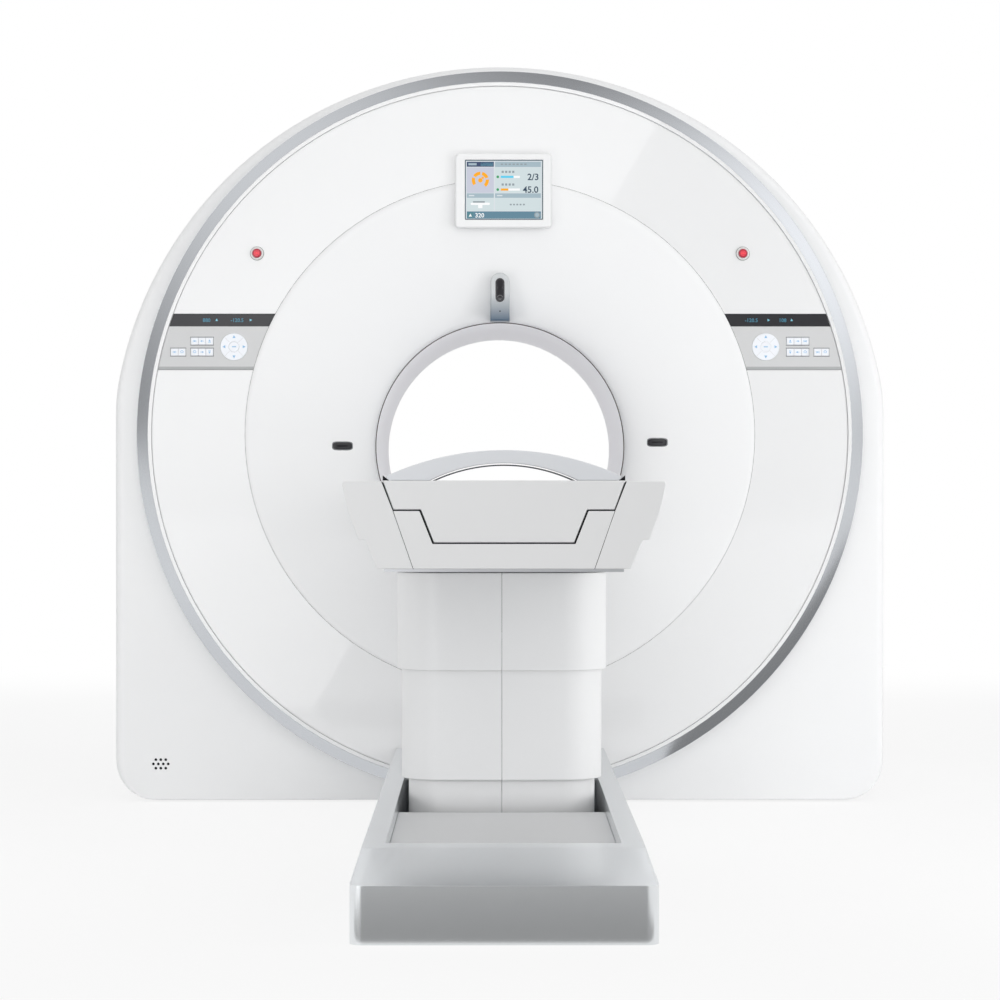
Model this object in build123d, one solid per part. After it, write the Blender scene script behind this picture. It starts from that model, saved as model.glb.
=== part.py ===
from build123d import *
import os
from math import cos, radians, sin, sqrt

# Gantry housing. All sizes are in millimetres, +Y runs from the couch into the bore, +Z is up,
# and the origin is on the floor at the centre of the gantry's anchor pattern.
GANTRY_DEPTH = 1500.0
HOUSING_SIDE_MARGIN = 64.5
HOUSING_TOP_MARGIN = 23.0
HOUSING_ARC_BULGE = 10.5
HOUSING_CORNER_RADIUS = 112.0
HOUSING_SHOULDER_RADIUS = 500.0
HOUSING_EDGE_RADIUS = 60.0
HOUSING_FLOOR_GAP = 6.0
HOUSING_WALL = 6.0
FRONT_COVER_DEPTH = 190.0
REAR_COVER_DEPTH = 230.0
SIDE_COVER_CLEARANCE = 10.0
COVER_JOINT = 0.8

# Front disc: silver ring, raised lip, glossy fascia and the seam round the funnel
DISC_PROUD = 40.0
RING_OUTER_RADIUS = 1018.0
RING_FLOOR_GAP = 15.0
RING_WIDTH = 32.0
RING_SLOPE = 10.0
RING_PLATE = 8.0
RING_SKIRT_WALL = 6.0
RING_SKIRT_DEPTH = 90.0
RING_LEDGE = 26.0
RING_CLEARANCE = 0.5
LIP_WIDTH = 10.0
LIP_HEIGHT = 4.0
GROOVE_WIDTH = 1.5
GROOVE_DEPTH = 3.0
FASCIA_WIDTH = 272.0
SEAM_GAP = 0.8
FASCIA_THICKNESS = 10.0

# Bore, funnels and tunnel
BORE_RADIUS = 350.0
BORE_DROP = 33.0
BORE_SETBACK = 100.0
FUNNEL_WALL = 6.0
FUNNEL_EDGE_ANGLE = 10.0
FUNNEL_STEPS = 7
FUNNEL_SLEEVE = 25.0
TUNNEL_LENGTH = 1000.0
LINER_WALL = 4.0
LINER_GROOVE = 2.0
LINER_CLEARANCE = 0.3
REAR_MOUTH_RADIUS = 620.0
REAR_CLEARANCE = 0.5
REAR_RIM_DEPTH = 18.0
REAR_BEND = 0.35

# Display on the disc
DISPLAY_X = 9.0
DISPLAY_DROP = 32.0
DISPLAY_WIDTH = 269.0
DISPLAY_HEIGHT = 208.0
DISPLAY_PROUD = 22.0
DISPLAY_CORNER = 10.0
DISPLAY_EDGE = 3.0
SCREEN_SHIFT_X = 2.0
SCREEN_SHIFT_Z = 1.5
SCREEN_WIDTH = 218.0
SCREEN_HEIGHT = 167.0
SCREEN_RECESS = 2.0
SCREEN_THICKNESS = 4.0

# Control panels and status bars
PANEL_RISE = 338.6
BAR_HEIGHT = 35.6
PANEL_HEIGHT = 122.0
PANEL_BEVEL = 5.0
PANEL_THICKNESS = 6.0
PANEL_RADIAL_GAP = 0.5
KEY_SIZE = 20.3
KEY_PITCH = 20.9
KEY_CORNER = 1.0
KEY_CLEARANCE = 0.3
KEY_PROUD = 1.5
KEY_FLOOR_GAP = 1.5
KEY_TRAVEL = 1.0
KEY_BLOCK_INSET = 140.6
KEY_DROP = 76.8
KEY_ROW_PITCH = 30.7
PAIR_OFFSET = 66.7
DPAD_OFFSET = 89.4
DPAD_DROP = 92.6
DPAD_RADIUS = 38.0
DPAD_CENTRE_RADIUS = 14.3

# Emergency stops
STOP_ANGLE = 36.71
STOP_OFFSET = 134.2
STOP_COLLAR_RADIUS = 18.0
STOP_COLLAR_PROUD = 8.0
STOP_COLLAR_EDGE = 2.0
STOP_RADIUS = 12.0
STOP_PROUD = 14.0
STOP_EDGE = 2.5
STOP_CAP_GAP = 1.0
STOP_CLEARANCE = 0.6
STOP_TRAVEL = 4.0
STOP_STEM_RADIUS = 6.0
STOP_STEM_CLEARANCE = 0.3
STOP_SHANK_RADIUS = 15.0
STOP_SHANK_DEPTH = 30.0

# Laser pod and laser windows
POD_WIDTH = 54.0
POD_HEIGHT = 135.0
POD_LIFT = 2.0
POD_SETBACK = 1.0
POD_EDGE = 3.0
POD_WINDOW_WIDTH = 26.0
POD_WINDOW_HEIGHT = 68.0
POD_WINDOW_DROP = 49.0
POD_WINDOW_DEPTH = 3.0
POD_WINDOW_RECESS = 1.0
POD_WINDOW_CLEARANCE = 0.3
LASER_OFFSET = 93.0
LEFT_LASER_RISE = 2.0
RIGHT_LASER_RISE = 12.0
LASER_WIDTH = 56.0
LASER_HEIGHT = 24.0
LASER_CLEARANCE = 0.3

# Intercom holes in the front cover, and vents in the rear cover
SPEAKER_INSET = 127.9
SPEAKER_Z = 106.8
SPEAKER_HOLE_RADIUS = 4.0
SPEAKER_PITCH = 13.9
SPEAKER_ROW_PITCH = 12.0
VENT_INSET = 322.5
VENT_Z = 300.0
VENT_WIDTH = 320.0
VENT_HEIGHT = 8.0
VENT_PITCH = 22.0
VENT_COUNT = 9

# Gantry frame
FRAME_BEAM_WIDTH = 120.0
FRAME_BEAM_TOP_Z = 120.0
FRAME_BEAM_LENGTH = 1000.0
ANCHOR_PLATE = 160.0
ANCHOR_PLATE_THICKNESS = 20.0
ANCHOR_HOLE_RADIUS = 9.0
ANCHOR_SPACING_X = 1700.0
ANCHOR_SPACING_Y = 840.0
UPRIGHT_RADIUS = 880.0
CT_UPRIGHT_Y = -60.0
CT_UPRIGHT_THICKNESS = 40.0
PET_UPRIGHT_Y = 300.0
PET_UPRIGHT_THICKNESS = 30.0
PET_UPRIGHT_HOLE_RADIUS = 385.0
COVER_ARM_SIZE = 60.0
COVER_ARM_LOW_Z = 400.0
COVER_ARM_HIGH_Z = 1000.0

# CT rotor on its main bearing
BEARING_RADIUS = 580.0
BEARING_WALL = 40.0
BEARING_LENGTH = 80.0
BEARING_CLEARANCE = 0.05
BEARING_SEAT_CLEARANCE = 0.1
JOURNAL_WALL = 30.0
ROTOR_PLATE_THICKNESS = 40.0
ROTOR_RADIUS = 860.0
ROTOR_INNER_RADIUS = 400.0
ROTOR_FRONT_GAP = 10.0
STATOR_WALL = 50.0
STATOR_LENGTH = 56.0
STATOR_AIR_GAP = 0.6
TUBE_RADIUS = 110.0
TUBE_LENGTH = 300.0
TUBE_OFFSET = 640.0
COLLIMATOR_WIDTH = 180.0
COLLIMATOR_DEPTH = 210.0
COLLIMATOR_HEIGHT = 70.0
FOCUS_OFFSET = 570.0
DETECTOR_RADIUS = 1020.0
DETECTOR_WALL = 110.0
DETECTOR_DEPTH = 171.0
DETECTOR_HALF_ANGLE = 27.0
POWER_UNIT_OFFSET = 640.0
POWER_UNIT_WIDTH = 220.0
POWER_UNIT_HEIGHT = 340.0
POWER_UNIT_DEPTH = 280.0
SLIP_RING_RADIUS = 800.0
SLIP_RING_WIDTH = 140.0
SLIP_RING_THICKNESS = 20.0
SLIP_TRACKS = 3
SLIP_TRACK_WIDTH = 26.0
SLIP_TRACK_DEPTH = 4.0

# PET detector modules
PET_INNER_RADIUS = 400.0
PET_MODULE_HEIGHT = 110.0
PET_MODULE_WIDTH = 84.0
PET_MODULE_LENGTH = 220.0
PET_MODULES = 28

# Couch base
BASE_LENGTH = 2479.5
BASE_DOCK_GAP = 0.5
BASE_WIDTH = 606.0
BASE_FACE_HEIGHT = 116.0
BASE_RIM_Z = 155.0
BASE_RIM_WIDTH = 582.0
BASE_SLOPE_LENGTH = 279.0
BASE_CORNER = 28.0
BASE_WALL = 6.0
RECESS_WIDTH = 489.0
RECESS_FRONT = 72.0
RECESS_REAR = 40.0
RECESS_WALL = 5.0
PLATE_Z = 122.0
PLATE_THICKNESS = 6.0
PLATE_CLEARANCE = 0.4
PLATE_EDGE_SAG = 8.0
WELL_CLEARANCE = 10.0
FLOOR_PLATE_THICKNESS = 20.0
FLOOR_PLATE_GAP = 0.3
POST_SIZE = 40.0
POST_INSET = 5.0
POST_SETBACK = 40.0
COUCH_ANCHOR_SPACING_X = 400.0
COUCH_ANCHOR_SPACING_Y = 2000.0
COUCH_ANCHOR_HOLE_RADIUS = 7.0

# Pedestal shrouds, in three stages
PEDESTAL_FRONT = 1276.0
UPPER_WIDTH = 500.0
UPPER_LENGTH = 780.0
UPPER_HEIGHT = 231.0
UPPER_CORNER = 105.0
MID_WIDTH = 478.0
MID_HEIGHT = 260.0
LOWER_WIDTH = 445.0
SHROUD_OVERLAP = 24.0
SHROUD_WALL = 4.0
SHROUD_SPLIT = 0.8

# Lift column
COLUMN_SIZE = 160.0
COLUMN_WALL = 12.0
COLUMN_CLEARANCE = 0.3
COLUMN_FLOOR_GAP = 10.0
BASE_COLUMN_DROP = 200.0
MID_PLATE_THICKNESS = 6.0
HEAD_PLATE_WIDTH = 513.0
HEAD_PLATE_THICKNESS = 35.0
HEAD_PLATE_EDGE = 4.0
LIFT_DOWN = 290.0
LIFT_UP = 100.0

# Couch top: frame, side covers and foot end panel
TOP_FRONT = 2320.0
FRAME_HEAD_LENGTH = 198.0
TOP_DROP = 97.0
TOP_HEIGHT = 175.0
TRAY_WIDTH = 480.0
TRAY_THICKNESS = 6.0
END_PANEL_THICKNESS = 12.0
COVER_SHELL = 4.0
THIN_GAP = 0.8
WING_TOP_X = 321.0
WING_EDGE_X = 324.0
WING_EDGE_DROP = 6.0
WING_MID_X = 312.0
WING_MID_DROP = 60.0
WING_STEP_X = 291.0
WING_STEP_DROP = 117.0
WING_STEP_WIDTH = 13.0
WING_BOTTOM_X = 254.0
INNER_TOP_X = 245.5
SHELF_X = 222.5
SHELF_DROP = 59.0
INNER_BOTTOM_X = 182.0
TROUGH_TOP_X = 169.3
TROUGH_BOTTOM_X = 143.2
TROUGH_DROP = 125.0
RUNNING_GAP = 3.0
RAIL_X = 195.0
RAIL_WIDTH = 20.0
RAIL_HEIGHT = 18.0
RAIL_GROOVE_WIDTH = 30.0
RAIL_GROOVE_DEPTH = 30.0
RAIL_CLEARANCE = 0.3

# Carriage, end cap, pallet and pull handle
CAP_RISE = 2.0
CAP_THICKNESS = 12.0
CARRIAGE_LENGTH = 420.0
PALLET_HALF_WIDTH = 237.0
PALLET_EDGE_DROP = 1.0
PALLET_EDGE_THICKNESS = 12.0
PALLET_DIP = 30.0
PALLET_THICKNESS = 20.0
PALLET_NOSE_RADIUS = 120.0
PALLET_TRAVEL = 1650.0
HANDLE_HALF_WIDTH = 236.0
HANDLE_END_RISE = 11.0
HANDLE_TOP_RISE = 63.0
HANDLE_INNER_HALF_WIDTH = 149.0
HANDLE_INNER_RISE = 37.0
HANDLE_DEPTH = 70.0
HANDLE_FOOT = 10.0
HANDLE_FOOT_HEIGHT = 3.0

# Places worked out from the sizes above
FRONT_Y = -GANTRY_DEPTH / 2
REAR_Y = GANTRY_DEPTH / 2
FACE_Y = FRONT_Y + LIP_HEIGHT
COVER_Y = FRONT_Y + DISC_PROUD
FRONT_JOINT_Y = COVER_Y + FRONT_COVER_DEPTH
REAR_JOINT_Y = REAR_Y - REAR_COVER_DEPTH
HOUSING_WIDTH = 2 * (RING_OUTER_RADIUS + HOUSING_SIDE_MARGIN)
HOUSING_ARC_RADIUS = HOUSING_WIDTH / 2 + HOUSING_ARC_BULGE
DISC_Z = RING_OUTER_RADIUS + RING_FLOOR_GAP
HOUSING_ARC_Z = DISC_Z + RING_OUTER_RADIUS + HOUSING_TOP_MARGIN - HOUSING_ARC_RADIUS
BORE_Z = DISC_Z - BORE_DROP
RING_INNER_RADIUS = RING_OUTER_RADIUS - RING_WIDTH
LIP_INNER_RADIUS = RING_INNER_RADIUS - LIP_WIDTH
FASCIA_BACK_Y = FACE_Y + FASCIA_THICKNESS
PANEL_BACK_Y = FACE_Y + PANEL_THICKNESS
KEY_BACK_Y = PANEL_BACK_Y - KEY_TRAVEL - KEY_FLOOR_GAP
PANEL_OUTER_RADIUS = LIP_INNER_RADIUS - GROOVE_WIDTH
SEAM_RADIUS = RING_INNER_RADIUS - FASCIA_WIDTH
FUNNEL_RADIUS = SEAM_RADIUS - SEAM_GAP / 2
FASCIA_INNER_RADIUS = SEAM_RADIUS + SEAM_GAP / 2
DISPLAY_Z = DISC_Z + SEAM_RADIUS - DISPLAY_DROP
SCREEN_X = DISPLAY_X + SCREEN_SHIFT_X
SCREEN_Z = DISPLAY_Z + SCREEN_SHIFT_Z
PANEL_TOP_Z = DISC_Z + PANEL_RISE
KEY_BLOCK_X = PANEL_OUTER_RADIUS - KEY_BLOCK_INSET
KEY_UPPER_Z = PANEL_TOP_Z - KEY_DROP
KEY_LOWER_Z = KEY_UPPER_Z - KEY_ROW_PITCH
PAIR_X = KEY_BLOCK_X + PAIR_OFFSET
DPAD_X = KEY_BLOCK_X - DPAD_OFFSET
DPAD_Z = PANEL_TOP_Z - DPAD_DROP
STOP_X = (SEAM_RADIUS + STOP_OFFSET) * cos(radians(STOP_ANGLE))
STOP_Z = DISC_Z + (SEAM_RADIUS + STOP_OFFSET) * sin(radians(STOP_ANGLE))
POD_BOTTOM_Z = BORE_Z + BORE_RADIUS + POD_LIFT
POD_TOP_Z = POD_BOTTOM_Z + POD_HEIGHT
POD_WINDOW_Z = POD_TOP_Z - POD_WINDOW_DROP
LASER_X = BORE_RADIUS + LASER_OFFSET
LEFT_LASER_Z = BORE_Z + LEFT_LASER_RISE
RIGHT_LASER_Z = BORE_Z + RIGHT_LASER_RISE
SPEAKER_X = SPEAKER_INSET - HOUSING_WIDTH / 2
VENT_X = HOUSING_WIDTH / 2 - VENT_INSET
BORE_LIP_Y = FRONT_Y + BORE_SETBACK
LINER_START_Y = BORE_LIP_Y + LINER_GROOVE
TUNNEL_END_Y = BORE_LIP_Y + TUNNEL_LENGTH
LINER_OUTER_RADIUS = BORE_RADIUS + LINER_WALL
SLEEVE_RADIUS = LINER_OUTER_RADIUS + LINER_CLEARANCE
FRAME_BEAM_X = ANCHOR_SPACING_X / 2
SIDE_COVER_OPENING = ANCHOR_SPACING_X + ANCHOR_PLATE + 2 * SIDE_COVER_CLEARANCE
CT_UPRIGHT_BACK_Y = CT_UPRIGHT_Y + CT_UPRIGHT_THICKNESS
BEARING_START_Y = CT_UPRIGHT_BACK_Y - BEARING_LENGTH
ROTOR_PLATE_BACK_Y = BEARING_START_Y - ROTOR_FRONT_GAP
ROTOR_PLATE_Y = ROTOR_PLATE_BACK_Y - ROTOR_PLATE_THICKNESS
BASE_BACK_Y = FRONT_Y - BASE_DOCK_GAP
BASE_FRONT_Y = BASE_BACK_Y - BASE_LENGTH
BASE_RIM_FRONT_Y = BASE_FRONT_Y + BASE_SLOPE_LENGTH
RECESS_FRONT_Y = BASE_RIM_FRONT_Y + RECESS_FRONT
RECESS_BACK_Y = BASE_BACK_Y - RECESS_REAR
PEDESTAL_FRONT_Y = FRONT_Y - PEDESTAL_FRONT
PEDESTAL_Y = PEDESTAL_FRONT_Y + UPPER_LENGTH / 2
TOP_Z = BORE_Z - TOP_DROP
TOP_BOTTOM_Z = TOP_Z - TOP_HEIGHT
HEAD_PLATE_TOP_Z = TOP_BOTTOM_Z - TRAY_THICKNESS
UPPER_TOP_Z = HEAD_PLATE_TOP_Z - HEAD_PLATE_THICKNESS
UPPER_BOTTOM_Z = UPPER_TOP_Z - UPPER_HEIGHT
MID_BOTTOM_Z = UPPER_BOTTOM_Z - MID_HEIGHT
MID_INSET = (UPPER_WIDTH - MID_WIDTH) / 2
MID_TOP_Z = UPPER_BOTTOM_Z + LIFT_UP / 2 + SHROUD_OVERLAP
BASE_COLUMN_TOP_Z = MID_TOP_Z - BASE_COLUMN_DROP
LOWER_INSET = (UPPER_WIDTH - LOWER_WIDTH) / 2
LOWER_TOP_Z = MID_BOTTOM_Z + LIFT_UP / 2 + SHROUD_OVERLAP
TOP_COLUMN_BOTTOM_Z = FLOOR_PLATE_THICKNESS + LIFT_DOWN + COLUMN_FLOOR_GAP
MID_COLUMN_BOTTOM_Z = FLOOR_PLATE_THICKNESS + LIFT_DOWN / 2 + COLUMN_FLOOR_GAP
TOP_FRONT_Y = FRONT_Y - TOP_FRONT
TOP_BACK_Y = TOP_FRONT_Y + CAP_THICKNESS + CARRIAGE_LENGTH + PALLET_TRAVEL + FRAME_HEAD_LENGTH
CAP_BACK_Y = TOP_FRONT_Y + CAP_THICKNESS
WING_MID_Z = TOP_Z - WING_MID_DROP
WING_STEP_Z = TOP_Z - WING_STEP_DROP
SHELF_Z = TOP_Z - SHELF_DROP
TROUGH_BOTTOM_Z = TOP_Z - TROUGH_DROP
CAP_TOP_Z = TOP_Z + CAP_RISE
PALLET_EDGE_Z = TOP_Z - PALLET_EDGE_DROP
HANDLE_END_Z = TOP_Z + HANDLE_END_RISE
HANDLE_TOP_Z = TOP_Z + HANDLE_TOP_RISE
HANDLE_INNER_TOP_Z = TOP_Z + HANDLE_INNER_RISE
PALLET_UNDER_Z = PALLET_EDGE_Z - PALLET_EDGE_THICKNESS
PALLET_UNDER_DIP = PALLET_DIP + PALLET_THICKNESS - PALLET_EDGE_THICKNESS
PANEL_END_Y = TOP_FRONT_Y + END_PANEL_THICKNESS


def prism(section, start_y, end_y):
    """A section drawn in X and Z, carried along Y from start_y to end_y."""
    return extrude(Plane.XZ.offset(-end_y) * section, amount=end_y - start_y)


def column(section, start_z, end_z):
    """A section drawn in X and Y, carried up Z from start_z to end_z."""
    return extrude(Plane.XY.offset(start_z) * section, amount=end_z - start_z)


def disc(radius, x, z):
    """A circle placed in X and Z."""
    return Pos(x, z) * Circle(radius)


def ring_prism(outer_radius, inner_radius, z, start_y, end_y):
    """A plain ring about the Y direction."""
    return prism(disc(outer_radius, 0, z) - disc(inner_radius, 0, z), start_y, end_y)


def turned(points, z):
    """A ring turned about Y at height z from points given as radius and Y."""
    profile = make_face(Polyline(*points, close=True))
    return revolve(Pos(0, 0, z) * profile, Axis((0, 0, z), (0, 1, 0)), 360)


def mirrored(shape):
    """The same shape on the other side of the bore's vertical plane."""
    return mirror(shape, Plane.YZ)


def polygon(points):
    """A closed face from points."""
    return make_face(Polyline(*points, close=True))


def symmetric_polygon(half_points):
    """A closed face from the right half's points, from top to bottom."""
    left = [(-x, z) for x, z in reversed(half_points)]
    return polygon(list(half_points) + left)


# Gantry housing


def housing_outline(inset):
    """The housing's arch: an arc on straight sides with rounded bottom corners."""
    half = HOUSING_WIDTH / 2 - inset
    arc_radius = HOUSING_ARC_RADIUS - inset
    shoulder_z = HOUSING_ARC_Z + sqrt(arc_radius**2 - half**2)
    bottom_z = HOUSING_FLOOR_GAP + inset
    crown = ThreePointArc((half, shoulder_z), (0, HOUSING_ARC_Z + arc_radius), (-half, shoulder_z))
    legs = Polyline((-half, shoulder_z), (-half, bottom_z), (half, bottom_z), (half, shoulder_z))
    outline = make_face(crown + legs)
    corners = outline.vertices().group_by(Axis.Y)[0]
    outline = fillet(corners, HOUSING_CORNER_RADIUS - inset)
    shoulders = outline.vertices().group_by(Axis.Y)[-1]
    return fillet(shoulders, HOUSING_SHOULDER_RADIUS - inset)


def housing_end(inset, face_y, joint_y):
    """One end of the housing as a solid with its face edge rounded."""
    start_y = min(face_y, joint_y)
    end_y = max(face_y, joint_y)
    body = prism(housing_outline(inset), start_y, end_y)
    layers = body.edges().group_by(Axis.Y)
    face_edges = layers[0] if face_y < joint_y else layers[-1]
    return fillet(face_edges, HOUSING_EDGE_RADIUS - inset)


def front_cover():
    """Moulded front cover with the hole for the disc and the intercom holes."""
    outer = housing_end(0, COVER_Y, FRONT_JOINT_Y)
    inner = housing_end(HOUSING_WALL, COVER_Y + HOUSING_WALL, FRONT_JOINT_Y)
    hole = prism(disc(RING_OUTER_RADIUS + RING_CLEARANCE, 0, DISC_Z), FRONT_Y, FRONT_JOINT_Y)
    cover = outer - inner - hole
    for row, count in enumerate((3, 4, 3)):
        z = SPEAKER_Z + (1 - row) * SPEAKER_ROW_PITCH
        for place in range(count):
            x = SPEAKER_X + (place - (count - 1) / 2) * SPEAKER_PITCH
            cover -= prism(disc(SPEAKER_HOLE_RADIUS, x, z), COVER_Y, COVER_Y + HOUSING_WALL)
    return cover


def rear_cover():
    """Moulded rear cover with the funnel's hole and two groups of vent slots."""
    outer = housing_end(0, REAR_Y, REAR_JOINT_Y)
    inner = housing_end(HOUSING_WALL, REAR_Y - HOUSING_WALL, REAR_JOINT_Y)
    hole = prism(disc(REAR_MOUTH_RADIUS + REAR_CLEARANCE, 0, BORE_Z), REAR_JOINT_Y, REAR_Y)
    cover = outer - inner - hole
    for side in (-1, 1):
        for row in range(VENT_COUNT):
            slot = Pos(side * VENT_X, VENT_Z + row * VENT_PITCH) * Rectangle(VENT_WIDTH, VENT_HEIGHT)
            cover -= prism(slot, REAR_Y - HOUSING_WALL, REAR_Y)
    return cover


def side_cover():
    """Left side cover, from the floor to the crown, open under the machine."""
    band = housing_outline(0) - housing_outline(HOUSING_WALL)
    height = HOUSING_ARC_Z + HOUSING_ARC_RADIUS
    half = Rectangle(HOUSING_WIDTH, 2 * height)
    left_half = Pos(-(HOUSING_WIDTH + COVER_JOINT) / 2, height / 2) * half
    underside = Rectangle(SIDE_COVER_OPENING, 2 * HOUSING_CORNER_RADIUS)
    return prism((band & left_half) - underside, FRONT_JOINT_Y, REAR_JOINT_Y)


def trim_ring():
    """Silver ring with a skirt into the front cover and a ledge under the fascia."""
    front = FACE_Y - LIP_HEIGHT / 2
    seat = FASCIA_BACK_Y
    return turned(
        [
            (RING_INNER_RADIUS, front),
            (RING_OUTER_RADIUS, front + RING_SLOPE),
            (RING_OUTER_RADIUS, front + RING_SKIRT_DEPTH),
            (RING_OUTER_RADIUS - RING_SKIRT_WALL, front + RING_SKIRT_DEPTH),
            (RING_OUTER_RADIUS - RING_SKIRT_WALL, seat + RING_PLATE),
            (RING_INNER_RADIUS - RING_LEDGE, seat + RING_PLATE),
            (RING_INNER_RADIUS - RING_LEDGE, seat),
            (RING_INNER_RADIUS, seat),
        ],
        DISC_Z,
    )


def panel_band(top_z, bottom_z, outer_radius, inner_radius):
    """The part of the fascia's ring between two heights, left and right."""
    ring = disc(outer_radius, 0, DISC_Z) - disc(inner_radius, 0, DISC_Z)
    height = top_z - bottom_z
    return ring & (Pos(0, (top_z + bottom_z) / 2) * Rectangle(2 * RING_OUTER_RADIUS, height))


def fascia_panel():
    """Glossy fascia ring with its raised lip, panel pockets and button holes."""
    outer = RING_INNER_RADIUS
    fascia = turned(
        [
            (FASCIA_INNER_RADIUS, FACE_Y),
            (PANEL_OUTER_RADIUS, FACE_Y),
            (PANEL_OUTER_RADIUS, FACE_Y + GROOVE_DEPTH),
            (LIP_INNER_RADIUS, FACE_Y + GROOVE_DEPTH),
            (LIP_INNER_RADIUS, FRONT_Y),
            (outer, FRONT_Y),
            (outer, FASCIA_BACK_Y),
            (FASCIA_INNER_RADIUS, FASCIA_BACK_Y),
        ],
        DISC_Z,
    )
    bottom_z = PANEL_TOP_Z - BAR_HEIGHT - PANEL_HEIGHT
    pocket = panel_band(PANEL_TOP_Z, bottom_z, PANEL_OUTER_RADIUS, FUNNEL_RADIUS)
    fascia -= prism(pocket, FACE_Y, PANEL_BACK_Y)
    for side in (-1, 1):
        shank = disc(STOP_SHANK_RADIUS, side * STOP_X, STOP_Z)
        fascia -= prism(shank, FACE_Y, FASCIA_BACK_Y)
    return fascia


# Bore


def bell_solid(wall):
    """The front funnel's space, from the seam circle to the bore's lip, grown by a wall."""
    edge = radians(FUNNEL_EDGE_ANGLE)
    stations = []
    for step in range(-1, FUNNEL_STEPS + 1):
        angle = edge + (radians(90) - edge) * step / FUNNEL_STEPS
        share = (1 - sin(angle)) / (1 - sin(edge))
        depth = (BORE_LIP_Y - FACE_Y) * cos(angle) / cos(edge) - wall * cos(angle)
        radius = BORE_RADIUS + (FUNNEL_RADIUS - BORE_RADIUS) * share + wall * sin(angle)
        z = BORE_Z + (DISC_Z - BORE_Z) * share
        stations.append(Plane.XZ.offset(depth - BORE_LIP_Y) * disc(radius, 0, z))
    return loft(stations)


def stadium(width, height):
    """A slot shape with round ends along its longer side."""
    if width > height:
        return SlotOverall(width, height)
    return SlotOverall(height, width, rotation=90)


def laser_slots(clearance):
    """The two laser window outlines beside the bore."""
    slot = stadium(LASER_WIDTH + 2 * clearance, LASER_HEIGHT + 2 * clearance)
    return [Pos(-LASER_X, LEFT_LASER_Z) * slot, Pos(LASER_X, RIGHT_LASER_Z) * slot]


def funnel_shell():
    """The bell's moulded wall from the seam circle to the bore."""
    outline = disc(FUNNEL_RADIUS, 0, DISC_Z)
    bore = disc(BORE_RADIUS, 0, BORE_Z)
    rim = prism(outline - bore, FACE_Y, FACE_Y + FUNNEL_WALL)
    hollow = bell_solid(FUNNEL_WALL) & prism(outline, FACE_Y + FUNNEL_WALL, FRONT_JOINT_Y)
    return (hollow + rim) - bell_solid(0) - prism(bore, FRONT_Y, FRONT_JOINT_Y)


def front_funnel():
    """Front funnel with its laser slots and the sleeve that holds the liner."""
    sleeve_end_y = BORE_LIP_Y + FUNNEL_SLEEVE
    sleeve_outer = SLEEVE_RADIUS + FUNNEL_WALL
    funnel = funnel_shell()
    funnel += ring_prism(sleeve_outer, SLEEVE_RADIUS, BORE_Z, BORE_LIP_Y - FUNNEL_WALL, sleeve_end_y)
    for slot in laser_slots(LASER_CLEARANCE):
        funnel -= prism(slot, FACE_Y, sleeve_end_y)
    return funnel


def tunnel_liner():
    """Thin straight tube that lines the bore."""
    return ring_prism(LINER_OUTER_RADIUS, BORE_RADIUS, BORE_Z, LINER_START_Y, TUNNEL_END_Y)


def rear_funnel():
    """Wide rear mouth, flared from the liner to the rear cover."""
    wall = FUNNEL_WALL
    mouth = REAR_MOUTH_RADIUS
    bend_radius = BORE_RADIUS + (mouth - BORE_RADIUS) * REAR_BEND
    bend_y = TUNNEL_END_Y + (REAR_Y - TUNNEL_END_Y) * (1 - REAR_BEND)
    throat = (BORE_RADIUS, TUNNEL_END_Y)
    rim_inner = (mouth - wall, REAR_Y - wall)
    rim_outer = (mouth, REAR_Y - REAR_RIM_DEPTH)
    shoulder = (SLEEVE_RADIUS + wall, TUNNEL_END_Y - wall)
    flare = ThreePointArc(throat, (bend_radius, bend_y), rim_inner)
    rim = Polyline(rim_inner, (mouth - wall, REAR_Y), (mouth, REAR_Y), rim_outer)
    back = ThreePointArc(rim_outer, (bend_radius + wall, bend_y - wall), shoulder)
    sleeve_start_y = TUNNEL_END_Y - FUNNEL_SLEEVE
    sleeve = Polyline(
        shoulder,
        (SLEEVE_RADIUS + wall, sleeve_start_y),
        (SLEEVE_RADIUS, sleeve_start_y),
        (SLEEVE_RADIUS, TUNNEL_END_Y),
        throat,
    )
    profile = make_face(Curve() + [flare, rim, back, sleeve])
    return revolve(Pos(0, 0, BORE_Z) * profile, Axis((0, 0, BORE_Z), (0, 1, 0)), 360)


# Display, pod and windows


def display_housing():
    """Display bezel standing on the disc, with the screen's recess."""
    outline = Pos(DISPLAY_X, DISPLAY_Z) * RectangleRounded(DISPLAY_WIDTH, DISPLAY_HEIGHT, DISPLAY_CORNER)
    front_y = FACE_Y - DISPLAY_PROUD
    housing = prism(outline, front_y, FACE_Y)
    housing = chamfer(housing.edges().group_by(Axis.Y)[0], DISPLAY_EDGE)
    recess = Pos(SCREEN_X, SCREEN_Z) * Rectangle(SCREEN_WIDTH, SCREEN_HEIGHT)
    return housing - prism(recess, front_y, front_y + SCREEN_RECESS + SCREEN_THICKNESS)


def display_screen():
    """Screen plate in the display's recess."""
    outline = Pos(SCREEN_X, SCREEN_Z) * Rectangle(SCREEN_WIDTH, SCREEN_HEIGHT)
    start_y = FACE_Y - DISPLAY_PROUD + SCREEN_RECESS
    return prism(outline, start_y, start_y + SCREEN_THICKNESS)


def pod_outline():
    """The pod's front view: straight sides and a round top."""
    straight = POD_HEIGHT - POD_WIDTH / 2
    shaft = Pos(0, POD_BOTTOM_Z + straight / 2) * Rectangle(POD_WIDTH, straight)
    return shaft + disc(POD_WIDTH / 2, 0, POD_TOP_Z - POD_WIDTH / 2)


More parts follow.
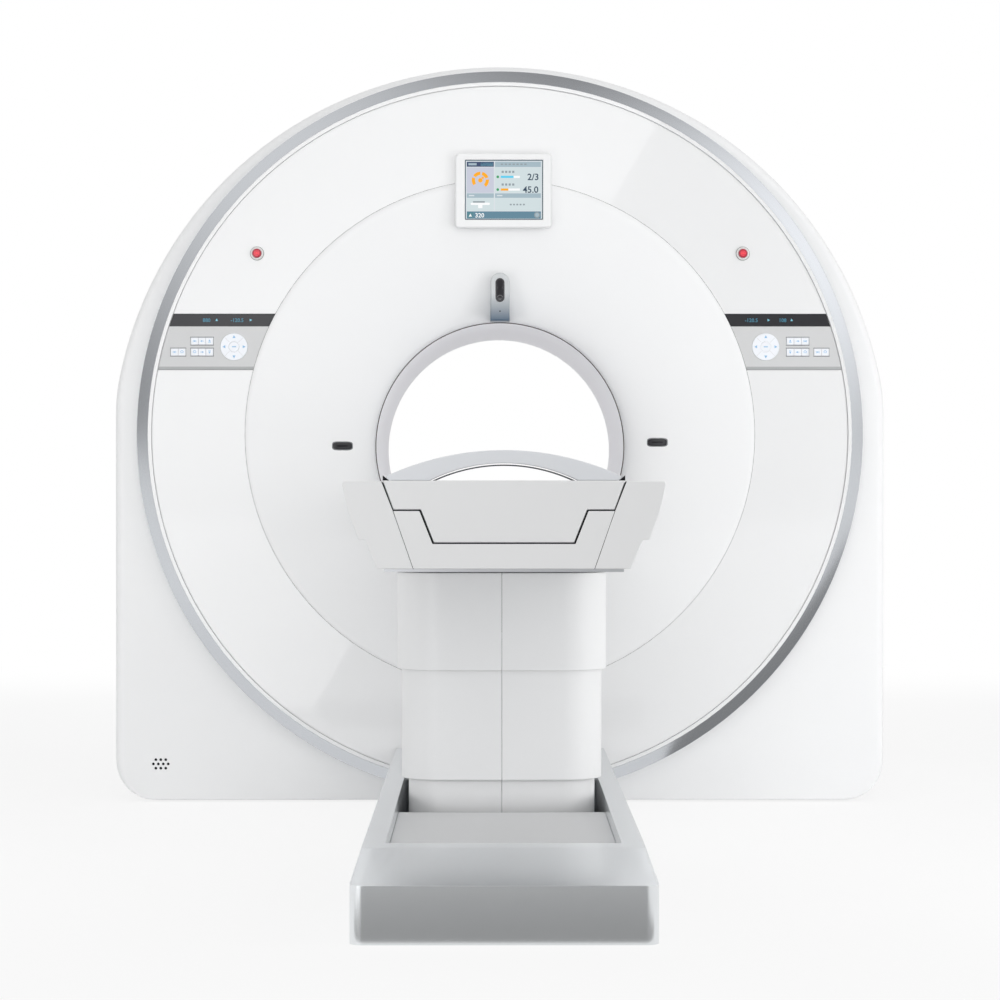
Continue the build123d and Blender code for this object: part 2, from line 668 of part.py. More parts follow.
def laser_pod():
    """Pod over the bore that fills the funnel's hollow, with its window recess."""
    front_y = FACE_Y + POD_SETBACK
    block = prism(pod_outline(), front_y, BORE_LIP_Y)
    block = chamfer(block.edges().group_by(Axis.Y)[0], POD_EDGE)
    window = Pos(0, POD_WINDOW_Z) * stadium(POD_WINDOW_WIDTH, POD_WINDOW_HEIGHT)
    return (block & bell_solid(0)) - prism(window, front_y, front_y + POD_WINDOW_DEPTH)


def laser_windows():
    """Dark windows of the pod and of the two side lasers."""
    front_y = FACE_Y + POD_SETBACK
    width = POD_WINDOW_WIDTH - 2 * POD_WINDOW_CLEARANCE
    height = POD_WINDOW_HEIGHT - 2 * POD_WINDOW_CLEARANCE
    pod_window = Pos(0, POD_WINDOW_Z) * stadium(width, height)
    windows = [prism(pod_window, front_y + POD_WINDOW_RECESS, front_y + POD_WINDOW_DEPTH)]
    shell = funnel_shell()
    for slot in laser_slots(0):
        windows.append(prism(slot, FACE_Y, BORE_LIP_Y) & shell)
    return windows


# Controls


def status_bars():
    """Two black glass bars over the control panels."""
    outer = PANEL_OUTER_RADIUS - PANEL_RADIAL_GAP
    band = panel_band(PANEL_TOP_Z, PANEL_TOP_Z - BAR_HEIGHT, outer, FASCIA_INNER_RADIUS)
    return [prism(face, FACE_Y, PANEL_BACK_Y) for face in band.faces().sort_by(Axis.X)]


def key_places():
    """Centres of the keys of the right panel that travel, in X and Z."""
    places = []
    for z in (KEY_UPPER_Z, KEY_LOWER_Z):
        for step in (-1, 0, 1):
            places.append((KEY_BLOCK_X + step * KEY_PITCH, z))
    return places


def control_panel():
    """Right control panel with its key openings and the fixed pair of keys."""
    top_z = PANEL_TOP_Z - BAR_HEIGHT
    outer = PANEL_OUTER_RADIUS - PANEL_RADIAL_GAP
    band = panel_band(top_z, top_z - PANEL_HEIGHT, outer, FASCIA_INNER_RADIUS)
    face = band.faces().sort_by(Axis.X)[-1]
    panel = prism(face, FACE_Y, PANEL_BACK_Y)
    front_edges = panel.edges().group_by(Axis.Y)[0]
    panel = chamfer(front_edges.sort_by(Axis.Z)[0], PANEL_BEVEL)
    opening = 2 * KEY_CLEARANCE
    block_width = 2 * KEY_PITCH + KEY_SIZE + opening
    for z in (KEY_UPPER_Z, KEY_LOWER_Z):
        block = Pos(KEY_BLOCK_X, z) * Rectangle(block_width, KEY_SIZE + opening)
        panel -= prism(block, FACE_Y, PANEL_BACK_Y)
    panel -= prism(disc(DPAD_RADIUS + KEY_CLEARANCE, DPAD_X, DPAD_Z), FACE_Y, PANEL_BACK_Y)
    for step in (-1, 1):
        fixed = Pos(PAIR_X + step * KEY_PITCH / 2, KEY_LOWER_Z) * Rectangle(KEY_SIZE, KEY_SIZE)
        panel += prism(fixed, FACE_Y - KEY_PROUD, PANEL_BACK_Y)
    return panel


def key_body(section):
    """A key cap that stands proud of the panel and has room to travel."""
    return prism(section, FACE_Y - KEY_PROUD, KEY_BACK_Y)


def small_key(x, z):
    """A square key."""
    return key_body(Pos(x, z) * RectangleRounded(KEY_SIZE, KEY_SIZE, KEY_CORNER))


def arrow_ring():
    """The four-way ring of the right panel."""
    inner = DPAD_CENTRE_RADIUS + KEY_CLEARANCE
    return key_body(disc(DPAD_RADIUS, DPAD_X, DPAD_Z) - disc(inner, DPAD_X, DPAD_Z))


def centre_key():
    """The round key inside the four-way ring of the right panel."""
    return key_body(disc(DPAD_CENTRE_RADIUS, DPAD_X, DPAD_Z))


def stop_collars():
    """Collars of the two emergency stops, with their shanks through the fascia."""
    front_y = FACE_Y - STOP_COLLAR_PROUD
    bore = STOP_RADIUS + STOP_CLEARANCE
    collars = []
    for side in (-1, 1):
        x = side * STOP_X
        collar = prism(disc(STOP_COLLAR_RADIUS, x, STOP_Z), front_y, FACE_Y)
        collar = chamfer(collar.edges().group_by(Axis.Y)[0], STOP_COLLAR_EDGE)
        collar += prism(disc(STOP_SHANK_RADIUS, x, STOP_Z), FACE_Y, FACE_Y + STOP_SHANK_DEPTH)
        collar -= prism(disc(bore, x, STOP_Z), front_y, FACE_Y)
        stem = STOP_STEM_RADIUS + STOP_STEM_CLEARANCE
        collar -= prism(disc(stem, x, STOP_Z), FACE_Y, FACE_Y + STOP_SHANK_DEPTH)
        collars.append(collar)
    return collars


def stop_button():
    """Red mushroom of the right emergency stop, on its stem."""
    front_y = FACE_Y - STOP_PROUD
    cap_back_y = FACE_Y - STOP_TRAVEL - STOP_CAP_GAP
    cap = prism(disc(STOP_RADIUS, STOP_X, STOP_Z), front_y, cap_back_y)
    cap = chamfer(cap.edges().group_by(Axis.Y)[0], STOP_EDGE)
    stem_end_y = FACE_Y + STOP_SHANK_DEPTH - STOP_TRAVEL
    return cap + prism(disc(STOP_STEM_RADIUS, STOP_X, STOP_Z), cap_back_y, stem_end_y)


# Gantry inside


def upright(hole_radius, start_y, thickness):
    """A ring-shaped steel upright standing on the base beams."""
    plate = disc(UPRIGHT_RADIUS, 0, BORE_Z)
    legs_height = BORE_Z - FRAME_BEAM_TOP_Z
    plate += Pos(0, FRAME_BEAM_TOP_Z + legs_height / 2) * Rectangle(2 * UPRIGHT_RADIUS, legs_height)
    return prism(plate - disc(hole_radius, 0, BORE_Z), start_y, start_y + thickness)


def gantry_frame():
    """Welded frame: anchor plates, base beams, two uprights and cover arms."""
    bearing_hole = BEARING_RADIUS + BEARING_WALL + BEARING_SEAT_CLEARANCE
    frame = upright(bearing_hole, CT_UPRIGHT_Y, CT_UPRIGHT_THICKNESS)
    frame += upright(PET_UPRIGHT_HOLE_RADIUS, PET_UPRIGHT_Y, PET_UPRIGHT_THICKNESS)
    beam_height = FRAME_BEAM_TOP_Z - ANCHOR_PLATE_THICKNESS
    arm_end = HOUSING_WIDTH / 2 - HOUSING_WALL
    arm_start = UPRIGHT_RADIUS - COVER_ARM_SIZE
    for side in (-1, 1):
        beam = Pos(side * FRAME_BEAM_X, 0) * Rectangle(FRAME_BEAM_WIDTH, FRAME_BEAM_LENGTH)
        frame += column(beam, ANCHOR_PLATE_THICKNESS, ANCHOR_PLATE_THICKNESS + beam_height)
        for end in (-1, 1):
            place = Pos(side * ANCHOR_SPACING_X / 2, end * ANCHOR_SPACING_Y / 2)
            frame += column(place * Rectangle(ANCHOR_PLATE, ANCHOR_PLATE), 0, ANCHOR_PLATE_THICKNESS)
        for z in (COVER_ARM_LOW_Z, COVER_ARM_HIGH_Z):
            length = arm_end - arm_start
            arm = Pos(side * (arm_start + length / 2), z) * Rectangle(length, COVER_ARM_SIZE)
            frame += prism(arm, CT_UPRIGHT_Y, CT_UPRIGHT_BACK_Y)
    for side in (-1, 1):
        for end in (-1, 1):
            place = Pos(side * ANCHOR_SPACING_X / 2, end * ANCHOR_SPACING_Y / 2)
            frame -= column(place * Circle(ANCHOR_HOLE_RADIUS), 0, FRAME_BEAM_TOP_Z)
    return frame


def bearing_outer_ring():
    """Fixed ring of the main bearing, seated in the CT upright."""
    outer = BEARING_RADIUS + BEARING_WALL
    return ring_prism(outer, BEARING_RADIUS, BORE_Z, BEARING_START_Y, CT_UPRIGHT_BACK_Y)


def motor_stator():
    """Direct-drive stator behind the CT upright, round the rotor's journal."""
    inner = BEARING_RADIUS - BEARING_CLEARANCE + STATOR_AIR_GAP
    end_y = CT_UPRIGHT_BACK_Y + STATOR_LENGTH
    return ring_prism(inner + STATOR_WALL, inner, BORE_Z, CT_UPRIGHT_BACK_Y, end_y)


def rotor_drum():
    """Rotor plate with lightening holes, on its journal."""
    journal = BEARING_RADIUS - BEARING_CLEARANCE
    plate = disc(ROTOR_RADIUS, 0, BORE_Z) - disc(ROTOR_INNER_RADIUS, 0, BORE_Z)
    drum = prism(plate, ROTOR_PLATE_Y, ROTOR_PLATE_BACK_Y)
    end_y = CT_UPRIGHT_BACK_Y + STATOR_LENGTH
    return drum + ring_prism(journal, journal - JOURNAL_WALL, BORE_Z, ROTOR_PLATE_BACK_Y, end_y)


def xray_tube():
    """X-ray tube housing with its collimator, at the top of the rotor."""
    z = BORE_Z + TUBE_OFFSET
    housing = prism(disc(TUBE_RADIUS, 0, z), ROTOR_PLATE_Y - TUBE_LENGTH, ROTOR_PLATE_Y)
    height = TUBE_RADIUS + COLLIMATOR_HEIGHT
    drop = Pos(0, z - height / 2) * Rectangle(COLLIMATOR_WIDTH, height)
    return housing + prism(drop, ROTOR_PLATE_Y - COLLIMATOR_DEPTH, ROTOR_PLATE_Y)


def ct_detector():
    """CT detector arc, centred on the tube's focus."""
    focus_z = BORE_Z + FOCUS_OFFSET
    ring = disc(DETECTOR_RADIUS + DETECTOR_WALL, 0, focus_z) - disc(DETECTOR_RADIUS, 0, focus_z)
    reach = 2 * (DETECTOR_RADIUS + DETECTOR_WALL)
    half_width = reach * sin(radians(DETECTOR_HALF_ANGLE))
    bottom = focus_z - reach * cos(radians(DETECTOR_HALF_ANGLE))
    fan = polygon([(0, focus_z), (half_width, bottom), (-half_width, bottom)])
    return prism(ring & fan, ROTOR_PLATE_Y - DETECTOR_DEPTH, ROTOR_PLATE_Y)


def power_units():
    """Generator and cooling unit on the rotor's two sides."""
    units = []
    for side in (-1, 1):
        box = Pos(side * POWER_UNIT_OFFSET, BORE_Z) * Rectangle(POWER_UNIT_WIDTH, POWER_UNIT_HEIGHT)
        units.append(prism(box, ROTOR_PLATE_Y - POWER_UNIT_DEPTH, ROTOR_PLATE_Y))
    return units


def slip_ring():
    """Slip ring on the rotor's rear face, with its grooved tracks."""
    inner = SLIP_RING_RADIUS - SLIP_RING_WIDTH
    start_y = ROTOR_PLATE_BACK_Y
    ring = ring_prism(SLIP_RING_RADIUS, inner, BORE_Z, start_y, start_y + SLIP_RING_THICKNESS)
    pitch = SLIP_RING_WIDTH / SLIP_TRACKS
    end_y = start_y + SLIP_RING_THICKNESS
    for track in range(SLIP_TRACKS):
        low = inner + track * pitch + (pitch - SLIP_TRACK_WIDTH) / 2
        ring -= ring_prism(low + SLIP_TRACK_WIDTH, low, BORE_Z, end_y - SLIP_TRACK_DEPTH, end_y)
    return ring


def pet_modules():
    """Ring of PET detector blocks in front of their upright."""
    modules = []
    start_y = PET_UPRIGHT_Y - PET_MODULE_LENGTH
    block = Pos(PET_INNER_RADIUS + PET_MODULE_HEIGHT / 2, 0) * Rectangle(PET_MODULE_HEIGHT, PET_MODULE_WIDTH)
    for place in range(PET_MODULES):
        section = Pos(0, BORE_Z) * Rot(0, 0, 360 * place / PET_MODULES) * block
        modules.append(prism(section, start_y, PET_UPRIGHT_Y))
    return modules


# Couch base


def base_outline(width, front_y, corner, inset):
    """Plan of the base with its two front corners rounded."""
    half = width / 2 - inset
    plan = polygon(
        [
            (-half, front_y + inset),
            (half, front_y + inset),
            (half, BASE_BACK_Y - inset),
            (-half, BASE_BACK_Y - inset),
        ]
    )
    return fillet(plan.vertices().group_by(Axis.Y)[0], corner - inset)


def base_hull(inset):
    """The base's outer form, or its inside when inset."""
    lower = base_outline(BASE_WIDTH, BASE_FRONT_Y, BASE_CORNER, inset)
    upper = base_outline(BASE_RIM_WIDTH, BASE_RIM_FRONT_Y, BASE_CORNER, inset)
    face_z = BASE_FACE_HEIGHT - inset
    body = column(lower, 0, face_z)
    rim_z = BASE_RIM_Z - inset
    slope = loft([Plane.XY.offset(face_z) * lower, Plane.XY.offset(rim_z) * upper], ruled=True)
    return body + slope


def recess_outline(margin):
    """Plan of the recess in the base's top."""
    length = RECESS_BACK_Y - RECESS_FRONT_Y + 2 * margin
    centre_y = (RECESS_BACK_Y + RECESS_FRONT_Y) / 2
    return Pos(0, centre_y) * Rectangle(RECESS_WIDTH + 2 * margin, length)


def couch_base():
    """Silver base housing: a hollow hull with a lined recess in its top."""
    hull = base_hull(0) - base_hull(BASE_WALL)
    lining = column(recess_outline(RECESS_WALL), FLOOR_PLATE_THICKNESS, BASE_RIM_Z)
    opening = column(recess_outline(0), 0, BASE_RIM_Z)
    return hull + lining - opening


def plate_edge(front_y, back_y):
    """Plan of the front cover plate: its edge at the pedestal is bowed."""
    half = RECESS_WIDTH / 2 - PLATE_CLEARANCE
    bowed = ThreePointArc((half, back_y + PLATE_EDGE_SAG), (0, back_y), (-half, back_y + PLATE_EDGE_SAG))
    corners = [(-half, front_y), (half, front_y)]
    sides = Polyline((-half, back_y + PLATE_EDGE_SAG), *corners, (half, back_y + PLATE_EDGE_SAG))
    return make_face(bowed + sides)


def base_plates():
    """White plates that close the recess before and behind the pedestal."""
    well_front_y = PEDESTAL_FRONT_Y - WELL_CLEARANCE
    front = plate_edge(RECESS_FRONT_Y + PLATE_CLEARANCE, well_front_y)
    rear = mirror(plate_edge(2 * PEDESTAL_Y - RECESS_BACK_Y + PLATE_CLEARANCE, well_front_y), Plane.XZ)
    rear = Pos(0, 2 * PEDESTAL_Y) * rear
    return [column(plan, PLATE_Z - PLATE_THICKNESS, PLATE_Z) for plan in (front, rear)]


# Pedestal and lift


def shroud_outline(inset):
    """Plan of a pedestal shroud, inset from the upper one."""
    width = UPPER_WIDTH - 2 * inset
    length = UPPER_LENGTH - 2 * inset
    return Pos(0, PEDESTAL_Y) * RectangleRounded(width, length, UPPER_CORNER - inset)


def shroud(inset, bottom_z, top_z):
    """One pedestal stage as a left and a right half."""
    ring = shroud_outline(inset) - shroud_outline(inset + SHROUD_WALL)
    halves = []
    for side in (-1, 1):
        place = Pos(side * (UPPER_WIDTH + SHROUD_SPLIT) / 2, PEDESTAL_Y)
        half = place * Rectangle(UPPER_WIDTH, UPPER_LENGTH)
        halves.append(column(ring & half, bottom_z, top_z))
    return halves


def square_tube(inner, wall, bottom_z, top_z):
    """A square column stage."""
    outer = inner + 2 * wall
    plan = Rectangle(outer, outer) - Rectangle(inner, inner)
    return column(Pos(0, PEDESTAL_Y) * plan, bottom_z, top_z)


def mid_column_inner():
    """Inner width of the mid column, round the top column."""
    return COLUMN_SIZE + 2 * COLUMN_CLEARANCE


def lift_base_column():
    """Floor plate with anchor holes, plate posts and the fixed column stage."""
    plate = column(recess_outline(-FLOOR_PLATE_GAP), 0, FLOOR_PLATE_THICKNESS)
    centre_y = (RECESS_BACK_Y + RECESS_FRONT_Y) / 2
    inner = mid_column_inner() + 2 * COLUMN_WALL + 2 * COLUMN_CLEARANCE
    base = plate + square_tube(inner, COLUMN_WALL, FLOOR_PLATE_THICKNESS, BASE_COLUMN_TOP_Z)
    post_x = RECESS_WIDTH / 2 - POST_INSET - POST_SIZE / 2
    front_posts = RECESS_FRONT_Y + POST_SETBACK
    rear_posts = RECESS_BACK_Y - POST_SETBACK
    well_posts = PEDESTAL_FRONT_Y - WELL_CLEARANCE - POST_SETBACK
    for side in (-1, 1):
        for y in (front_posts, well_posts, 2 * PEDESTAL_Y - well_posts, rear_posts):
            post = Pos(side * post_x, y) * Rectangle(POST_SIZE, POST_SIZE)
            base += column(post, FLOOR_PLATE_THICKNESS, PLATE_Z - PLATE_THICKNESS)
        for end in (-1, 1):
            anchor = Pos(side * COUCH_ANCHOR_SPACING_X / 2, centre_y + end * COUCH_ANCHOR_SPACING_Y / 2)
            base -= column(anchor * Circle(COUCH_ANCHOR_HOLE_RADIUS), 0, FLOOR_PLATE_THICKNESS)
    return base


def lift_mid_column():
    """Middle column stage, with the plate that carries the mid shroud."""
    inner = mid_column_inner()
    stage = square_tube(inner, COLUMN_WALL, MID_COLUMN_BOTTOM_Z, MID_TOP_Z)
    hole = Pos(0, PEDESTAL_Y) * Rectangle(inner, inner)
    plan = shroud_outline(MID_INSET + SHROUD_WALL) - hole
    return stage + column(plan, MID_TOP_Z - MID_PLATE_THICKNESS, MID_TOP_Z)


def lift_top_column():
    """Top column stage, with the head plate under the couch top."""
    inner = COLUMN_SIZE - 2 * COLUMN_WALL
    stage = square_tube(inner, COLUMN_WALL, TOP_COLUMN_BOTTOM_Z, UPPER_TOP_Z)
    margin = (UPPER_WIDTH - HEAD_PLATE_WIDTH) / 2
    head = column(shroud_outline(margin), UPPER_TOP_Z, HEAD_PLATE_TOP_Z)
    head = chamfer(head.edges().group_by(Axis.Z)[-1], HEAD_PLATE_EDGE)
    return stage + head


# Couch top


def trough_points(clearance):
    """Right half of the trough's outline, widened by a clearance."""
    return [
        (TROUGH_TOP_X + clearance, SHELF_Z),
        (TROUGH_BOTTOM_X + clearance, TROUGH_BOTTOM_Z),
    ]


def frame_section():
    """U-shaped section between the side covers, open at the top."""
    half = [
        (SHELF_X - THIN_GAP, SHELF_Z),
        (INNER_BOTTOM_X - THIN_GAP, TOP_BOTTOM_Z),
    ]
    return symmetric_polygon(half) - symmetric_polygon(trough_points(0))


def couch_frame():
    """Couch frame: a U-shaped beam on a tray, with a sunk rail in each shelf."""
    beam = prism(frame_section(), PANEL_END_Y, TOP_BACK_Y)
    for side in (-1, 1):
        groove_z = SHELF_Z - RAIL_GROOVE_DEPTH / 2
        groove = Pos(side * RAIL_X, groove_z) * Rectangle(RAIL_GROOVE_WIDTH, RAIL_GROOVE_DEPTH)
        beam -= prism(groove, PANEL_END_Y, TOP_BACK_Y)
        rail_z = SHELF_Z - RAIL_GROOVE_DEPTH + RAIL_HEIGHT / 2
        rail = Pos(side * RAIL_X, rail_z) * Rectangle(RAIL_WIDTH, RAIL_HEIGHT)
        beam += prism(rail, PANEL_END_Y, TOP_BACK_Y)
    tray = Pos(0, TOP_BOTTOM_Z - TRAY_THICKNESS / 2) * Rectangle(TRAY_WIDTH, TRAY_THICKNESS)
    return beam + prism(tray, TOP_FRONT_Y, TOP_BACK_Y)


def couch_end_panel():
    """U-shaped foot end panel, flush with the side covers' ends."""
    return prism(frame_section(), TOP_FRONT_Y, PANEL_END_Y)


def cover_points(shrink):
    """Right side cover's section, or its hollow when shrunk."""
    return [
        (INNER_TOP_X - shrink, TOP_Z - shrink),
        (WING_TOP_X - shrink, TOP_Z - shrink),
        (WING_EDGE_X - shrink, TOP_Z - WING_EDGE_DROP - shrink / 2),
        (WING_MID_X - shrink, WING_MID_Z),
        (WING_STEP_X - shrink, WING_STEP_Z + shrink),
        (WING_STEP_X - WING_STEP_WIDTH - shrink, WING_STEP_Z + shrink / 2),
        (WING_BOTTOM_X - shrink, TOP_BOTTOM_Z + shrink),
        (INNER_BOTTOM_X - shrink, TOP_BOTTOM_Z + shrink),
        (SHELF_X - shrink, SHELF_Z),
    ]


def couch_side_cover():
    """Right side cover: a thin moulding, open towards the frame."""
    body = prism(polygon(cover_points(0)), TOP_FRONT_Y, TOP_BACK_Y)
    hollow = polygon(cover_points(COVER_SHELL))
    return body - prism(hollow, PANEL_END_Y, TOP_BACK_Y - END_PANEL_THICKNESS)


# Carriage, pallet and handle


def cap_section():
    """T-shaped front of the moving part, a running gap inside the fixed panels."""
    gap = RUNNING_GAP
    return symmetric_polygon(
        [
            (INNER_TOP_X - gap, CAP_TOP_Z),
            (SHELF_X - gap / 2, SHELF_Z + gap),
            (TROUGH_TOP_X - gap, SHELF_Z + gap),
            (TROUGH_BOTTOM_X - gap, TROUGH_BOTTOM_Z + gap),
        ]
    )


def arc_strip(half_width, edge_z, dip, floor_z):
    """Everything between a dipped arc and a flat line at floor_z."""
    arc = ThreePointArc((half_width, edge_z), (0, edge_z - dip), (-half_width, edge_z))
    box = Polyline((-half_width, edge_z), (-half_width, floor_z), (half_width, floor_z), (half_width, edge_z))
    return make_face(arc + box)


def dish(edge_z, dip):
    """Cylinder along the couch that meets the pallet's edges at edge_z and dips between them."""
    radius = (PALLET_HALF_WIDTH**2 + dip**2) / (2 * dip)
    return prism(disc(radius, 0, edge_z - dip + radius), TOP_FRONT_Y, FRONT_Y)


def pallet():
    """Patient pallet: a long dished board, thicker in the middle, with a rounded head end."""
    half = PALLET_HALF_WIDTH
    plan = polygon([(-half, CAP_BACK_Y), (half, CAP_BACK_Y), (half, TOP_BACK_Y), (-half, TOP_BACK_Y)])
    plan = fillet(plan.vertices().group_by(Axis.Y)[-1], PALLET_NOSE_RADIUS)
    board = column(plan, TROUGH_BOTTOM_Z, CAP_TOP_Z)
    return (board & dish(PALLET_UNDER_Z, PALLET_UNDER_DIP)) - dish(PALLET_EDGE_Z, PALLET_DIP)


def pallet_end_cap():
    """Foot end cap that closes the trough and moves with the pallet."""
    return prism(cap_section(), TOP_FRONT_Y, CAP_BACK_Y)


def carriage():
    """Carriage under the pallet's foot end, with a shoe on each sunk rail."""
    cradle = arc_strip(PALLET_HALF_WIDTH, PALLET_UNDER_Z, PALLET_UNDER_DIP, TROUGH_BOTTOM_Z)
    end_y = CAP_BACK_Y + CARRIAGE_LENGTH
    body = prism(cap_section() & cradle, CAP_BACK_Y, end_y)
    shoe_bottom = SHELF_Z - RAIL_GROOVE_DEPTH + RAIL_HEIGHT + RAIL_CLEARANCE
    shoe_height = SHELF_Z + 2 * RUNNING_GAP - shoe_bottom
    for side in (-1, 1):
        shoe = Pos(side * RAIL_X, shoe_bottom + shoe_height / 2) * Rectangle(RAIL_WIDTH, shoe_height)
        body += prism(shoe, CAP_BACK_Y, end_y)
    return body


def pull_handle():
    """Arched handle across the pallet's foot end, on two small feet."""
    outer_x = HANDLE_HALF_WIDTH
    inner_x = HANDLE_INNER_HALF_WIDTH
    low_z = PALLET_EDGE_Z + HANDLE_FOOT_HEIGHT
    outer = ThreePointArc((outer_x, HANDLE_END_Z), (0, HANDLE_TOP_Z), (-outer_x, HANDLE_END_Z))
    left = Polyline((-outer_x, HANDLE_END_Z), (-outer_x, low_z), (-inner_x, low_z))
    inner = ThreePointArc((-inner_x, low_z), (0, HANDLE_INNER_TOP_Z), (inner_x, low_z))
    right = Polyline((inner_x, low_z), (outer_x, low_z), (outer_x, HANDLE_END_Z))
    section = make_face(Curve() + [outer, left, inner, right])
    start_y = CAP_BACK_Y
    end_y = start_y + HANDLE_DEPTH
    arch = prism(section, start_y, end_y)
    foot_x = HANDLE_HALF_WIDTH - HANDLE_FOOT / 2
    for side in (-1, 1):
        place = Pos(side * foot_x, PALLET_EDGE_Z + HANDLE_FOOT_HEIGHT / 2)
        foot = place * Rectangle(HANDLE_FOOT, HANDLE_FOOT_HEIGHT)
        arch += prism(foot, start_y, end_y)
    return arch


def write(name, shape):
    """Writes one node's solids to its STEP file."""
    solids = shape if isinstance(shape, list) else [shape]
    parts = [solid for piece in solids for solid in piece.solids()]
    export_step(parts[0] if len(parts) == 1 else Compound(children=parts), f"parts/{name}.step")


def write_sided(name, shape):
    """Writes a right-hand piece and its mirror image."""
    write(f"right_{name}", shape)
    write(f"left_{name}", mirrored(shape))


def main():
    os.makedirs("parts", exist_ok=True)
    write("front_cover", front_cover())
    write("rear_cover", rear_cover())
    write("left_side_cover", side_cover())
    write("right_side_cover", mirrored(side_cover()))
    write("trim_ring", trim_ring())
    write("fascia_panel", fascia_panel())
    write("front_funnel", front_funnel())
    write("tunnel_liner", tunnel_liner())
    write("rear_funnel", rear_funnel())
    write("display_housing", display_housing())
    write("display_screen", display_screen())
    write("laser_pod", laser_pod())
    write("laser_windows", laser_windows())
    write("status_bars", status_bars())
    write("stop_collars", stop_collars())
    write_sided("control_panel", control_panel())
    for place, (x, z) in enumerate(key_places(), start=1):
        write_sided(f"key_{place}", small_key(x, z))
    write_sided("arrow_ring", arrow_ring())
    write_sided("centre_key", centre_key())
    write_sided("stop_button", stop_button())
    write("gantry_frame", gantry_frame())
    write("bearing_outer_ring", bearing_outer_ring())
    write("motor_stator", motor_stator())
    write("pet_modules", pet_modules())
    write("rotor_drum", rotor_drum())
    write("xray_tube", xray_tube())
    write("ct_detector", ct_detector())
    write("power_units", power_units())
    write("slip_ring", slip_ring())
    write("couch_base", couch_base())
    write("base_plates", base_plates())
    write("lower_shroud", shroud(LOWER_INSET, FLOOR_PLATE_THICKNESS, LOWER_TOP_Z))
    write("mid_shroud", shroud(MID_INSET, MID_BOTTOM_Z, MID_TOP_Z))
    write("upper_shroud", shroud(0, UPPER_BOTTOM_Z, UPPER_TOP_Z))
    write("lift_base_column", lift_base_column())
    write("lift_mid_column", lift_mid_column())
    write("lift_top_column", lift_top_column())
    write("couch_frame", couch_frame())
    write("couch_end_panel", couch_end_panel())
    write_sided("couch_cover", couch_side_cover())
    write("carriage", carriage())
    write("pallet_end_cap", pallet_end_cap())
    write("pallet", pallet())
    write("pull_handle", pull_handle())


main()
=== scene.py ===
"""Looks of the PET-CT scanner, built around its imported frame."""

import logging
import math
from dataclasses import dataclass, field
from enum import Enum
from functools import cache
from typing import Iterable, Sequence

import bmesh
import bpy
from mathutils import Euler, Matrix, Vector


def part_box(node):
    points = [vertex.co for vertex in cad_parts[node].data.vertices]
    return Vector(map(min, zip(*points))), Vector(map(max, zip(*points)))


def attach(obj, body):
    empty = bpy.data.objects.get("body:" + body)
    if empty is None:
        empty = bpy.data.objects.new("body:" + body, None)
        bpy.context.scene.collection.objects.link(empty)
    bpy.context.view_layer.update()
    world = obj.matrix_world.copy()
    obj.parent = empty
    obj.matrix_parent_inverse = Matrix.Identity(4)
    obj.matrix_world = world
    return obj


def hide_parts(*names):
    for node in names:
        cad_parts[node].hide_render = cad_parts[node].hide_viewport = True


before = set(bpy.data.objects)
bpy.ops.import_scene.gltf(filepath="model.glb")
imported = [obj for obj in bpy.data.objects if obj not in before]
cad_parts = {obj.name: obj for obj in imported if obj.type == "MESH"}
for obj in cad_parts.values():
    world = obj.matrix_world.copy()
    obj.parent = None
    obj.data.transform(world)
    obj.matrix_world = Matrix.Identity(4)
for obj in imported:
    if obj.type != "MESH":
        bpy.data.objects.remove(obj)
LOG = logging.getLogger("scanner")
# Wall of the tunnel's liner, height of the fascia's lip, and how far the keys stand out of their panel
LINER_WALL = 0.004
LIP_HEIGHT = 0.004
KEY_PROUD = 0.0015
# Points of a node nearer than this are one, and faces bent by less than this are one flat face
MERGE_REACH = 0.00002
FLAT_BEND = math.radians(0.4)
FULL_TURN = 2 * math.pi
COAT_ROUGHNESS = 0.03
UNLIT = (0.02, 0.02, 0.02, 1.0)
WHITE = (1.0, 1.0, 1.0, 1.0)

Point = tuple[float, float]
Colour = tuple[float, float, float]


@cache
def box(node: str) -> tuple[Vector, Vector]:
    """A node's lowest and highest corners, measured once."""
    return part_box(node)


def round_of(node: str) -> tuple[float, float, float]:
    """A round node's centre in X and Z and its radius, seen from the front."""
    low, high = box(node)
    return (low.x + high.x) / 2, (low.z + high.z) / 2, (high.x - low.x) / 2


# Finishes


class Surface(Enum):
    """The fine structure of a finish."""

    PEEL = "lacquer_peel"
    GRAIN = "moulding_grain"
    FLAKE = "metal_flake"
    BRUSHED = "brushed_line"
    TURNED = "turned_line"


